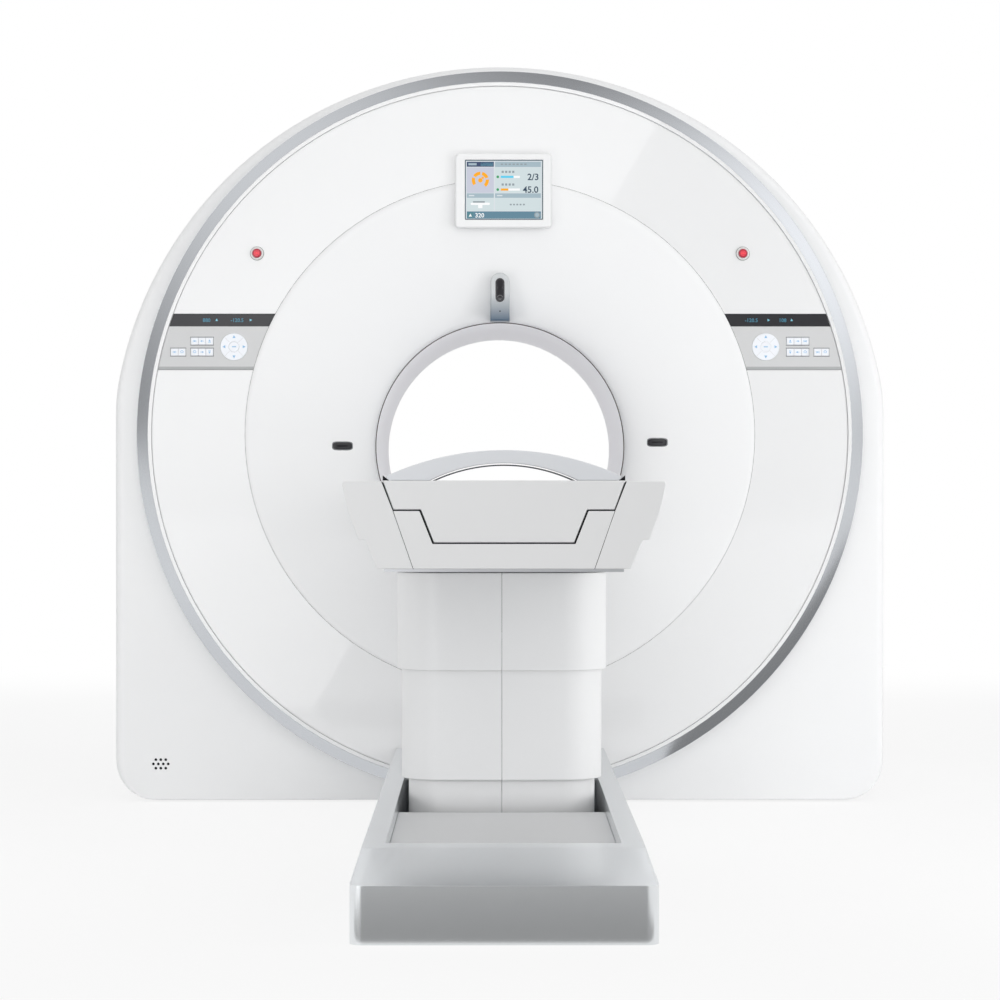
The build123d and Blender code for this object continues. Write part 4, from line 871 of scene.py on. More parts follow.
@dataclass
class Row:
    """Copies of one small solid in a straight row.

    Attributes:
        count: how many copies.
        start: the first copy's centre.
        step: the way from one copy to the next.
        size: the solid's width, depth and height; a round one uses its width and depth.
        turn: how each copy is turned.
        sides: 0 for a block, or how many sides a round solid has.
    """

    count: int
    start: Sequence[float]
    step: Sequence[float]
    size: Sequence[float]
    turn: Sequence[float] = (0.0, 0.0, 0.0)
    sides: int = 0

    def tree(self) -> bpy.types.NodeTree:
        """The geometry tree for this kind of solid, built once.

        Returns:
            The tree, whose inputs are named after this class's fields.
        """
        name = "row_of_studs" if self.sides else "row_of_slats"
        known = bpy.data.node_groups.get(name)
        if known:
            return known
        tree = bpy.data.node_groups.new(name, "GeometryNodeTree")
        nodes = Nodes(tree)
        tree.interface.new_socket("Geometry", in_out="OUTPUT", socket_type="NodeSocketGeometry")
        kinds = {
            "Count": "Int", "Start": "Vector", "Step": "Vector", "Size": "Vector", "Turn": "Vector",
            "Sides": "Int", "Finish": "Material",
        }
        for label, kind in kinds.items():
            tree.interface.new_socket(label, in_out="INPUT", socket_type=f"NodeSocket{kind}")
        given = nodes.add("NodeGroupInput").outputs
        inputs = {"Count": given["Count"], "Start Location": given["Start"], "Offset": given["Step"]}
        line = nodes.add("GeometryNodeMeshLine", inputs)
        if self.sides:
            size = nodes.add("ShaderNodeSeparateXYZ", {"Vector": given["Size"]}).outputs
            radius = nodes.math("MULTIPLY", size["X"], 0.5)
            solid = nodes.add(
                "GeometryNodeMeshCylinder", {"Vertices": given["Sides"], "Radius": radius, "Depth": size["Y"]}
            ).outputs["Mesh"]
        else:
            solid = nodes.add("GeometryNodeMeshCube", {"Size": given["Size"]}).outputs["Mesh"]
        copies = nodes.add(
            "GeometryNodeInstanceOnPoints",
            {"Points": line.outputs["Mesh"], "Instance": solid, "Rotation": given["Turn"]},
        )
        real = nodes.add("GeometryNodeRealizeInstances", {"Geometry": copies.outputs["Instances"]})
        dressed = nodes.add(
            "GeometryNodeSetMaterial", {"Geometry": real.outputs["Geometry"], "Material": given["Finish"]}
        )
        nodes.add("NodeGroupOutput", {"Geometry": dressed.outputs["Geometry"]})
        return tree

    def build(self, name: str, finish: Finish) -> bpy.types.Object:
        """Runs the tree and keeps its result as a plain mesh.

        Args:
            name: the object's name.
            finish: the copies' finish.

        Returns:
            The object.
        """
        made = linked(name, bpy.data.meshes.new(name))
        modifier = made.modifiers.new("row", "NODES")
        modifier.node_group = self.tree()
        values = {
            "Count": self.count, "Start": self.start, "Step": self.step, "Size": self.size,
            "Turn": self.turn, "Sides": self.sides, "Finish": finish.material(),
        }
        for item in modifier.node_group.interface.items_tree:
            if item.in_out == "INPUT" and item.name in values:
                value = values[item.name]
                plain = isinstance(value, (int, bpy.types.ID))
                modifier[item.identifier] = value if plain else [float(v) for v in value]
        return applied(made)


# Gantry


@dataclass
class Shell:
    """The housing's moulded covers and what is fixed to them.

    Attributes:
        edge: rounding of the covers' joint edges.
        outline_steps: points round the front cover.
        edge_steps: faces across its rounding.
        edge_radii: its rounding over the crown, at the sides and at the floor.
        wall: the covers' wall.
        intercom_at: the middle of the intercom's holes.
        hole_pitch: from hole to hole and from row to row.
        hole_radius: a hole's radius.
        cloth_width: width of the intercom's cloth.
        cloth_share: its height as a share of that width.
        cloth_depths: how far its front and back lie behind the cover's foremost point.
        hole_margin: how much wider than the disc the cover's hole is.
        slat_tilt: how far the vents' louvres lean, in degrees.
        vent_groups: centres of the vent groups in X.
        vent_low: centre of the lowest slot.
        vent_pitch: from one slot to the next.
        vent_count: slots in a group.
        vent_size: a slot's width and height.
        slat_play: how much narrower than its slot a louvre is.
        slat_section: a louvre's depth and thickness.
        slat_depth: how far its middle lies inside the rear face.
        filter_margin: how much wider and higher than its slots a filter is.
        filter_depths: how far its two faces lie inside the rear face.
    """

    edge: float = 0.0012
    outline_steps: int = 480
    edge_steps: int = 8
    edge_radii: tuple[float, float, float] = (0.060, 0.022, 0.003)
    wall: float = 0.006
    intercom_at: Point = (-0.9546, 0.1068)
    hole_pitch: Point = (0.0139, 0.012)
    hole_radius: float = 0.004
    cloth_width: float = 0.075
    cloth_share: float = 0.7
    cloth_depths: Point = (0.0042, 0.0075)
    hole_margin: float = 0.0005
    slat_tilt: float = 32.0
    vent_groups: tuple[float, float] = (-0.76, 0.76)
    vent_low: float = 0.3
    vent_pitch: float = 0.022
    vent_count: int = 9
    vent_size: Point = (0.32, 0.008)
    slat_play: float = 0.002
    slat_section: Point = (0.009, 0.0014)
    slat_depth: float = 0.0045
    filter_margin: float = 0.03
    filter_depths: Point = (0.022, 0.0115)

    def build(self) -> None:
        """Makes the covers, the vents' louvres and filters, and the intercom's cloth."""
        dress(("rear_cover", "left_side_cover", "right_side_cover"), HOUSING, self.edge, segments=2)
        self.front_cover()
        self.intercom()
        for side, x in zip(("left", "right"), self.vent_groups):
            self.vent(side, x)

    def outline(self) -> list[tuple[Vector, Vector]]:
        """The front cover's outline at its joint, evenly stepped.

        Returns:
            Each point with its outward direction, both in X and Z.
        """
        joint_y = box("front_cover")[1].y
        bm = merged_node("front_cover")
        bent = [e for e in bm.edges if e.is_manifold and e.calc_face_angle(0.0) > 0.8]
        rim = [e for e in bent if all(abs(v.co.y - joint_y) < 0.00002 for v in e.verts)]
        widest = max((v for e in rim for v in e.verts), key=lambda v: v.co.x)
        loop, ahead = [widest], None
        while True:
            links = [e for e in loop[-1].link_edges if e in rim and e is not ahead]
            ahead = links[0]
            following = ahead.other_vert(loop[-1])
            if following is loop[0]:
                break
            loop.append(following)
        corners = [Vector((v.co.x, v.co.z)) for v in loop]
        bm.free()
        spans = [(b - a).length for a, b in zip(corners, corners[1:] + corners[:1])]
        step = sum(spans) / self.outline_steps
        points, place, passed = [], 0, 0.0
        for count in range(self.outline_steps):
            wanted = count * step
            while passed + spans[place] < wanted:
                passed += spans[place]
                place += 1
            share = (wanted - passed) / spans[place]
            points.append(corners[place].lerp(corners[(place + 1) % len(corners)], share))
        result = []
        centre = Vector((0.0, DISC_CENTRE[2]))
        for k, point in enumerate(points):
            along = points[(k + 1) % len(points)] - points[k - 1]
            out = Vector((along.y, -along.x)).normalized()
            result.append((point, out if out.dot(point - centre) > 0 else -out))
        return result

    def edge_radius(self, out: Vector) -> float:
        """The rounding at a place of the outline: wide over the crown, tight at the floor."""
        top, side, bottom = self.edge_radii
        if out.y > 0:
            return side + (top - side) * max(0.0, (out.y - 0.6) / 0.4) ** 2
        return side + (bottom - side) * min(1.0, max(0.0, (-out.y - 0.3) / 0.6))

    def front_cover(self) -> None:
        """The front cover, with its hole for the disc and the intercom's holes."""
        low, high = box("front_cover")
        hole = DISC_RADIUS + self.hole_margin
        centre = Vector((0.0, DISC_CENTRE[2]))
        sections = []
        for point, out in self.outline():
            radius = self.edge_radius(out)
            turned_in = (point - out * radius - centre).normalized()
            rim = centre + turned_in * hole
            reach = max(0.0, (point - rim).dot(out) - 0.0002)
            last = math.acos(1 - min(reach, radius) / radius)
            front = []
            for step in range(self.edge_steps + 1):
                turn = last * step / self.edge_steps
                inward = radius * (1 - math.cos(turn))
                y = low.y + radius * (1 - math.sin(turn))
                front.append((point - out * inward, y))
            seat_y = front[-1][1]
            wall = self.wall
            inside = point - out * wall
            path = [(point, high.y)] + front + [(rim, seat_y), (rim, seat_y + wall)]
            path += [(front[-1][0], seat_y + wall), (inside, low.y + radius + wall), (inside, high.y)]
            sections.append([Vector((p.x, y, p.y)) for p, y in path])
        made = to_object("front_cover_dressed", ring_surface(sections))
        cutters = []
        for row, count in enumerate((3, 4, 3)):
            for place in range(count):
                x = self.intercom_at[0] + (place - (count - 1) / 2) * self.hole_pitch[0]
                z = self.intercom_at[1] + (1 - row) * self.hole_pitch[1]
                cutters.append(slab("cutter", circle(x, z, self.hole_radius, 20), low.y - 0.01, low.y + 0.02))
        cutter = joined("cutters", cutters)
        cut = made.modifiers.new("holes", "BOOLEAN")
        cut.operation = "DIFFERENCE"
        cut.solver = "EXACT"
        cut.object = cutter
        applied(made)
        discard(cutter)
        placed(eased(made, 0.0), HOUSING, replaces=["front_cover"])

    def intercom(self) -> None:
        """The dark cloth behind the intercom holes."""
        near, far = [box("front_cover")[0].y + depth for depth in self.cloth_depths]
        outline = oval(*self.intercom_at, self.cloth_width, self.cloth_width * self.cloth_share)
        placed(slab("intercom_cloth", outline, near, far), DARK_PARTS_AND_GAP_SHADE)

    def vent(self, side: str, x: float) -> None:
        """One vent group's louvres and filter.

        Args:
            side: the side's name.
            x: the group's centre in X.
        """
        back_y = box("rear_cover")[1].y
        width, height = self.vent_size
        slat = Row(
            self.vent_count, (x, back_y - self.slat_depth, self.vent_low), (0, 0, self.vent_pitch),
            (width - self.slat_play, *self.slat_section), (math.radians(self.slat_tilt), 0, 0),
        )
        louvres = slat.build(f"{side}_vent_louvres", MOULDING)
        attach(louvres, "root")
        top = self.vent_low + (self.vent_count - 1) * self.vent_pitch
        middle, margin = (top + self.vent_low) / 2, self.filter_margin
        outline = rectangle(x, middle, width + margin, top - self.vent_low + height + margin)
        near, far = [back_y - depth for depth in self.filter_depths]
        placed(slab(f"{side}_vent_filter", outline, near, far), FILTER)


@dataclass
class DiscFront:
    """The silver ring, the fascia and the bell of the gantry's front.

    Attributes:
        crown: how far the ring's face bulges.
        bell_steps: points along the bell's curve.
        seam_angle: the bell's slope at its seam, in degrees.
        wall: the bell's wall.
        sleeve: length of the sleeve round the liner.
        sleeve_radii: how much wider than the lip the sleeve's inner and outer faces are.
        seam: the gap round the bell, in which its dark ring of painted shade is centred.
        seam_shade_half: half that ring's width.
        seam_shade_depths: where that ring's front and back lie behind the bell's rim.
    """

    crown: float = 0.0003
    bell_steps: int = 40
    seam_angle: float = 10.0
    wall: float = 0.006
    sleeve: float = 0.025
    sleeve_radii: Point = (0.004, 0.010)
    seam: float = 0.0004
    seam_shade_half: float = 0.0003
    seam_shade_depths: Point = (0.0008, 0.004)

    def build(self) -> None:
        """Makes the ring, the fascia, the bell and the dark ring of painted shade in the seam."""
        self.ring()
        dress(("fascia_panel",), FASCIA, 0.0008, segments=2)
        placed(self.bell("front_bell"), BELL, replaces=["front_funnel"])
        self.seam_seal()

    def ring(self) -> None:
        """The silver ring, with a slightly domed face."""
        ring_low, ring_high = box("trim_ring")
        outer, inner = DISC_RADIUS, round_of("fascia_panel")[2]
        front, slope, z = ring_low.y, 0.010, DISC_CENTRE[2]
        skirt_wall, skirt_y, plate = 0.006, ring_high.y, 0.008
        face = []
        steps = 14
        for step in range(steps + 1):
            share = step / steps
            bulge = self.crown * 4 * share * (1 - share)
            face.append((inner + (outer - inner) * share, front + slope * share - bulge, z))
        seat = box("fascia_panel")[1].y
        back = [
            (outer, skirt_y, z),
            (outer - skirt_wall, skirt_y, z),
            (outer - skirt_wall, seat + plate, z),
            (inner, seat + plate, z),
        ]
        made = lathe("silver_ring", face + back, 360)
        placed(eased(made, 0.0008, 2, 40.0), RING, replaces=["trim_ring"])

    def bell_point(self, share: float) -> tuple[float, float, float]:
        """One point of the bell's curve.

        Args:
            share: 0 at the seam, 1 at the bore.

        Returns:
            Radius, Y and the centre's height.
        """
        bell_low, bell_high = box("front_funnel")
        outer = round_of("front_funnel")[2]
        _, bore_z, liner = round_of("tunnel_liner")
        bore = liner - LINER_WALL + Bore.lip_shade_width
        lip_y = bell_high.y - self.sleeve
        edge = math.radians(self.seam_angle)
        angle = edge + (QUARTER - edge) * share
        out = (1 - math.sin(angle)) / (1 - math.sin(edge))
        return (
            bore + (outer - bore) * out,
            lip_y - (lip_y - bell_low.y) * math.cos(angle) / math.cos(edge),
            bore_z + (DISC_CENTRE[2] - bore_z) * out,
        )

    def bell(self, name: str) -> bpy.types.Object:
        """The bell's wall, from its seam to the sleeve."""
        curve = [self.bell_point(step / self.bell_steps) for step in range(self.bell_steps + 1)]
        radius, lip_y, z = curve[-1]
        seam, seam_y, seam_z = curve[0]
        curve[0:1] = [(seam, seam_y + 0.0006, seam_z), (seam - 0.0006, seam_y, seam_z)]
        near, end_y = lip_y + 0.001, lip_y + self.sleeve
        bore, skin = [radius + reach for reach in self.sleeve_radii]
        inner = [(radius, near, z), (bore, near, z), (bore, end_y, z)]
        outer = [(skin, end_y, z), (skin, lip_y - 0.002, z)]
        for step in range(self.bell_steps, 0, -4):
            r, y, centre = self.bell_point(step / self.bell_steps)
            share = step / self.bell_steps
            outer.append((r + self.wall * (0.3 + 0.7 * share), y + self.wall * 1.2, centre))
        outer.append((curve[0][0], curve[0][1] + self.wall, curve[0][2]))
        return lathe(name, curve + inner + outer, 288)

    def surface_y(self, x: float, z: float) -> float:
        """Where the bell's face is at a place seen from the front.

        Args:
            x: the place's X.
            z: the place's Z.

        Returns:
            The face's Y there.
        """
        low, high = 0.0, 1.0
        for _ in range(40):
            middle = (low + high) / 2
            radius, _, centre = self.bell_point(middle)
            if math.hypot(x, z - centre) < radius:
                low = middle
            else:
                high = middle
        return self.bell_point(low)[1]

    def seam_seal(self) -> None:
        """A dark ring sunk in the seam round the bell, painted shade for the seam's shadow."""
        near, far = [box("front_funnel")[0].y + depth for depth in self.seam_shade_depths]
        radius, z = round_of("front_funnel")[2] + self.seam, DISC_CENTRE[2]
        inner, outer = radius - self.seam_shade_half, radius + self.seam_shade_half
        profile = [(inner, near, z), (outer, near, z), (outer, far, z), (inner, far, z)]
        placed(lathe("seam_seal", profile, 240), DARK_PARTS_AND_GAP_SHADE)


@dataclass
class Bore:
    """The tunnel's liner, a dark ring of painted shade at the bell's lip, and the rear mouth.

    Attributes:
        lip_shade_width: how wide that ring of painted shade shows round the liner.
        gap_shade_depth: its depth.
    """

    lip_shade_width: float = 0.0026
    gap_shade_depth: float = 0.0018

    def build(self) -> None:
        """Dresses the liner and the rear mouth, and adds the ring of painted shade at the lip."""
        dress(("tunnel_liner",), BORE, 0.0004, segments=2)
        dress(("rear_funnel",), BELL, 0.002, segments=2)
        _, z, liner = round_of("tunnel_liner")
        inner = liner - LINER_WALL
        far = box("tunnel_liner")[0].y - 0.0001
        near = far - self.gap_shade_depth
        outer = inner + self.lip_shade_width
        profile = [(inner, near, z), (outer, near, z), (outer, far, z), (inner, far, z)]
        placed(lathe("bore_seal", profile, 240), LIP_GAP_SHADE)


@dataclass
class Inside:
    """The machine inside the covers."""

    def build(self) -> None:
        """Finishes the nodes that show only where the covers are open."""
        coat(("gantry_frame", "bearing_outer_ring", "lift_base_column", "lift_mid_column"), STEEL)
        coat(("rotor_drum", "slip_ring"), ALLOY)
        coat(("couch_frame", "carriage"), EXTRUDED)
        coat(("motor_stator", "pet_modules", "xray_tube", "ct_detector", "power_units"), UNIT)


# Controls


@dataclass
class DisplayUnit:
    """The display on the disc: its frame and the page on its screen.

    Attributes:
        edge: rounding of the frame.
        dial_radius: radius of the gauge on the page.
    """

    edge: float = 0.0022
    dial_radius: float = 0.024

    def build(self) -> None:
        """Makes the frame and the page."""
        dress(("display_housing",), MOULDING, self.edge)
        coat(("display_screen",), BLACK)
        low, high = box("display_screen")
        self.left, self.top = low.x, high.z
        self.width, self.height = high.x - low.x, high.z - low.z
        page = Print("display_page", low.y)
        self.panes(page)
        self.gauge(page)
        self.bars(page)
        self.couch_sign(page)
        page.build("root", "screen_glass")

    def area(self, x0: float, z0: float, x1: float, z1: float) -> list[Point]:
        """A rectangle in shares of the screen, from its top left corner."""
        left, right = self.left + x0 * self.width, self.left + x1 * self.width
        top, bottom = self.top - z0 * self.height, self.top - z1 * self.height
        return [(left, bottom), (right, bottom), (right, top), (left, top)]

    def spot(self, x: float, z: float) -> Point:
        """A place in shares of the screen, from its top left corner."""
        return self.left + x * self.width, self.top - z * self.height

    def panes(self, page: Print) -> None:
        """The page's coloured fields."""
        page.add(self.area(0.004, 0.004, 0.996, 0.996), EDGE_TONE)
        page.add(self.area(0.012, 0.016, 0.988, 0.984), MIST, 1)
        fields = (
            (0.024, 0.032, 0.371, 0.116, NAVY), (0.200, 0.044, 0.362, 0.104, STEEL_BLUE),
            (0.386, 0.032, 0.973, 0.120, HEADER), (0.024, 0.128, 0.371, 0.552, LILAC),
            (0.386, 0.128, 0.973, 0.552, PALE), (0.024, 0.560, 0.371, 0.635, HEADER),
            (0.386, 0.560, 0.973, 0.635, HEADER), (0.024, 0.640, 0.371, 0.852, PALE),
            (0.386, 0.640, 0.973, 0.852, PALE), (0.024, 0.862, 0.973, 0.980, STEEL_BLUE),
            (0.030, 0.868, 0.108, 0.974, GREEN),
        )
        for x0, z0, x1, z1, tone in fields:
            page.add(self.area(x0, z0, x1, z1), tone, 2)
        x, z = self.spot(0.070, 0.930)
        page.add(triangle(x, z, 0.0055, 90), PAPER, 3)
        x, z = self.spot(0.925, 0.921)
        page.add(circle(x, z, 0.0085), GREY_TONE, 3)
        page.add(circle(x, z, 0.0055), HEADER, 4)
        x, z = self.spot(0.130, 0.962)
        page.write("320", x, z, 0.0125, PAPER, 3)
        for place in range(7):
            start = 0.46 + place * 0.05
            page.add(self.area(start, 0.062, start + 0.03, 0.086), GREY_TONE, 3)
        for place in range(5):
            start = 0.575 + place * 0.042
            page.add(self.area(start, 0.735, start + 0.024, 0.760), GREY_TONE, 3)
        for x0 in (0.05, 0.41):
            page.add(self.area(x0, 0.588, x0 + 0.07, 0.608), MIST, 3)
        page.add(self.area(0.045, 0.056, 0.15, 0.092), HEADER, 3)

    def gauge(self, page: Print) -> None:
        """A ring gauge with a pointer, in amber."""
        x, z = self.spot(0.198, 0.342)
        radius = self.dial_radius
        for start in (-50, 20, 90, 160):
            page.add(arc_band(x, z, radius, radius * 0.62, start, start + 56), AMBER, 3)
        page.add(circle(x, z, radius * 0.26), AMBER, 3)
        page.add(triangle(x + radius * 0.30, z + radius * 0.30, radius * 0.22, 45), AMBER, 3)

    def bars(self, page: Print) -> None:
        """Two progress bars with their figures."""
        rows = ((0.285, 0.624, CYAN, "2/3", 0.800), (0.497, 0.557, AMBER, "45.0", 0.742))
        for share, fill, tone, figures, start in rows:
            page.add(self.area(0.459, share - 0.018, 0.704, share + 0.018), PAPER, 3)
            page.add(self.area(0.459, share - 0.018, fill, share + 0.018), tone, 4)
            x, z = self.spot(0.421, share)
            page.add(circle(x, z, 0.0038, 16), GREEN, 3)
            x, z = self.spot(start, share + 0.052)
            page.write(figures, x, z, 0.0185, INK, 3)
            for place in range(4):
                left = 0.47 + place * 0.045
                page.add(self.area(left, share - 0.102, left + 0.028, share - 0.066), GREY_TONE, 3)

    def couch_sign(self, page: Print) -> None:
        """A plain sign of a couch seen from the side."""
        x, z = self.spot(0.197, 0.735)
        page.add(oval(x, z, 0.054, 0.0065), PAPER, 3)
        page.add(oval(x - 0.004, z + 0.0052, 0.034, 0.0045), GREY_TONE, 4)
        page.add(rectangle(x, z - 0.0075, 0.012, 0.009), PAPER, 3)


@dataclass
class ControlPanel:
    """One control panel with its status bar, keys and four-way ring.

    Attributes:
        side: left or right.
        frame_width: width of the dark line round a key group.
        mark: half the size of a key's sign.
        arrow: size of the ring's arrowheads.
        arrow_share: how far out they lie, as a share of the ring's radius.
        divider_shares: where its dividing lines start and end, as shares of that radius.
        divider_half: half a dividing line's width.
        digits: height of the status bar's figures.
        key_gap: the gap between a key group and the line round it.
        pair_shift: from the middle of the lower row to the middle of the fixed pair.
        bevel_margins: how far the bevel keeps from the bell and from the disc's edge.
    """

    side: str
    frame_width: float = 0.0016
    mark: float = 0.0048
    arrow: float = 0.0052
    arrow_share: float = 0.72
    divider_shares: Point = (0.46, 0.93)
    divider_half: float = 0.0003
    digits: float = 0.0105
    key_gap: float = 0.0004
    pair_shift: float = 0.0667
    bevel_margins: Point = (0.002, 0.045)

    @property
    def way(self) -> int:
        """1 on the right panel, -1 on its mirror image."""
        return 1 if self.side == "right" else -1

    def build(self) -> None:
        """Makes the panel and what is on it."""
        panel = dress((f"{self.side}_control_panel",), PANEL, 0.0006, segments=2)[0]
        panel_box = box(f"{self.side}_control_panel")
        self.keys()
        self.ring()
        marks = Print("panel_marks", panel_box[0].y + KEY_PROUD)
        self.gap_shade_frames(marks)
        self.pair_marks(marks)
        self.lower_bevel_shade(marks, panel_box[0].z)
        marks.build("root", "grey_panel", onto=panel)
        self.key_floor()
        self.bar_figures()

    def lower_bevel_shade(self, marks: Print, low_z: float) -> None:
        """The darker bevel along the panel's lower edge, as painted shade, with a thin painted shadow line at
        its foot.

        Args:
            marks: the panel's shapes.
            low_z: the panel's lower edge.
        """
        inner = round_of("front_funnel")[2] + self.bevel_margins[0]
        outer = DISC_RADIUS - self.bevel_margins[1]
        bands = ((0.0006, 0.0016, PANEL_FOOT_SHADOW), (0.0016, 0.0095, BEVEL))
        for lower, upper, finish in bands:
            corners = []
            for radius, rise in ((inner, lower), (outer, lower), (outer, upper), (inner, upper)):
                height = low_z + rise
                reach = math.sqrt(radius**2 - (height - DISC_CENTRE[2]) ** 2)
                corners.append((self.way * reach, height))
            marks.add(corners, finish)

    def key_box(self, first: str, last: str) -> tuple[float, float, float, float]:
        """Left, right, bottom and top of a run of keys."""
        boxes = [box(f"{self.side}_{name}") for name in (first, last)]
        left = min(low.x for low, _ in boxes)
        right = max(high.x for _, high in boxes)
        return left, right, boxes[0][0].z, boxes[0][1].z

    def groups(self) -> list[tuple[float, float, float, float]]:
        """The upper and the lower row of travelling keys."""
        return [self.key_box("key_1", "key_3"), self.key_box("key_4", "key_6")]

    def gap_shade_frames(self, marks: Print) -> None:
        """Thin dark frames round the groups of keys, painted shade for the gaps round them."""
        width = self.frame_width
        for left, right, bottom, top in self.groups() + [self.pair_box()]:
            left, right = left - self.key_gap, right + self.key_gap
            bottom, top = bottom - self.key_gap, top + self.key_gap
            x, z = (left + right) / 2, (bottom + top) / 2
            for dz in (bottom - width / 2, top + width / 2):
                marks.add(rectangle(x, dz, right - left + 2 * width, width), KEY_GAP_SHADE)
            for dx in (left - width / 4, right + width / 4):
                marks.add(rectangle(dx, z, width / 2, top - bottom), KEY_GAP_SHADE)

    def pair_box(self) -> tuple[float, float, float, float]:
        """The fixed pair's left, right, bottom and top."""
        left, right, bottom, top = self.key_box("key_4", "key_6")
        size = top - bottom
        pitch = (right - left - size) / 2
        centre = (left + right) / 2 + self.way * self.pair_shift
        half = (pitch + size) / 2
        return centre - half, centre + half, bottom, top

    def pair_marks(self, marks: Print) -> None:
        """White faces and signs of the two keys that are one with the panel."""
        left, right, bottom, top = self.pair_box()
        size = top - bottom
        proud = 12
        for place, sign in enumerate(("light", "zero")):
            x = left + size / 2 + place * (right - left - size)
            z = (bottom + top) / 2
            marks.add(rectangle(x, z, size - 0.0006, size - 0.0006), KEY, proud - 1)
            for outline in key_sign(sign, x, z, self.mark, self.way):
                marks.add(outline, KEY_MARK, proud)

    def keys(self) -> None:
        """The six keys that travel, each with its sign."""
        signs = ("raise", "feed", "light", "lower", "back", "zero")
        for place, sign in enumerate(signs, start=1):
            node = f"{self.side}_key_{place}"
            key = dress((node,), KEY, 0.0007, node, segments=2)[0]
            x, z, _ = round_of(node)
            marks = Print(f"{node}_sign", box(node)[0].y)
            for outline in key_sign(sign, x, z, self.mark, self.way):
                marks.add(outline, KEY_MARK)
            marks.build(node, "white_keys", onto=key)

    def ring(self) -> None:
        """The four-way ring with its arrows and dividers, and its centre key."""
        node = f"{self.side}_arrow_ring"
        ring = dress((node,), KEY, 0.0009, node, segments=3)[0]
        x, z, radius = round_of(node)
        marks = Print(f"{node}_signs", box(node)[0].y)
        for turn in (0, 90, 180, 270):
            angle = math.radians(turn)
            place = on_circle(x, z, radius * self.arrow_share, angle)
            marks.add(triangle(*place, self.arrow, turn), KEY_MARK)
            angle += math.radians(45)
            side = Vector((-math.sin(angle), math.cos(angle))) * self.divider_half
            ends = [Vector(on_circle(x, z, radius * share, angle)) for share in self.divider_shares]
            strip = [ends[0] - side, ends[1] - side, ends[1] + side, ends[0] + side]
            marks.add([tuple(p) for p in strip], KEY_LINE)
        marks.build(node, "white_keys", onto=ring)
        node = f"{self.side}_centre_key"
        centre = dress((node,), KEY, 0.0009, node, segments=3)[0]
        marks = Print(f"{node}_sign", box(node)[0].y)
        marks.add(oval(x, z, 0.012, 0.0028, 6), KEY_MARK)
        marks.build(node, "white_keys", onto=centre)

    def key_floor(self) -> None:
        """Dark floor that shows in the gaps between the keys, a sheet that paints the shade in those gaps."""
        floor_y = box(f"{self.side}_control_panel")[1].y
        outlines = []
        for left, right, bottom, top in self.groups():
            x, z = (left + right) / 2, (bottom + top) / 2
            outlines.append(rectangle(x, z, right - left, top - bottom))
        outlines.append(circle(*round_of(f"{self.side}_arrow_ring"), 48))
        near, far = floor_y - 0.0004, floor_y - 0.00005
        pieces = [slab("floor_part", outline, near, far) for outline in outlines]
        placed(joined(f"{self.side}_key_floor", pieces), KEY_GAP_SHADE)

    def bar_figures(self) -> None:
        """Dim figures and pointers behind the status bar's glass."""
        low, high = box("status_bars")
        z = (low.z + high.z) / 2 - self.digits / 2
        figures = Print(f"{self.side}_bar_figures", low.y)
        if self.side == "left":
            words = ((-0.832, "880", -0.793, 90), (-0.754, "-120.5", -0.698, 0))
        else:
            words = ((0.686, "-120.5", 0.752, 0), (0.781, "108", 0.817, 90))
        for x, word, pointer_x, turn in words:
            figures.write(word, x, z, self.digits, LED, 1)
            figures.add(triangle(pointer_x, z + self.digits / 2, self.digits * 0.42, turn), LED_BRIGHT)
        figures.build("root", "screen_glass")


def key_sign(sign: str, x: float, z: float, size: float, way: int) -> list[list[Point]]:
    """The outlines of one key's plain sign.

    Args:
        sign: raise, lower, feed, back, light or zero.
        x: the key's centre in X.
        z: the key's centre in Z.
        size: half the sign's size.
        way: 1, or -1 for its mirror image.

    Returns:
        The outlines.
    """
    bar = size * 0.28
    if sign in ("raise", "lower"):
        up = 1 if sign == "raise" else -1
        head = triangle(x, z + up * size * 0.2, size * 0.8, 90 * up)
        return [head, rectangle(x, z - up * size * 0.75, size * 1.5, bar)]
    if sign in ("feed", "back"):
        ahead = way if sign == "feed" else -way
        head = triangle(x + ahead * size * 0.35, z, size * 0.75, 0 if ahead > 0 else 180)
        return [head, rectangle(x - ahead * size * 0.6, z, size * 0.8, bar)]
    if sign == "light":
        rays = [rectangle(x + step * size * 0.8, z, bar, size * 1.3) for step in (-1, 1)]
        return [circle(x, z, size * 0.45, 12)] + rays
    return [arc_band(x, z, size, size * 0.68, 0, 180, 8), rectangle(x, z - size * 0.35, size * 1.8, bar)]


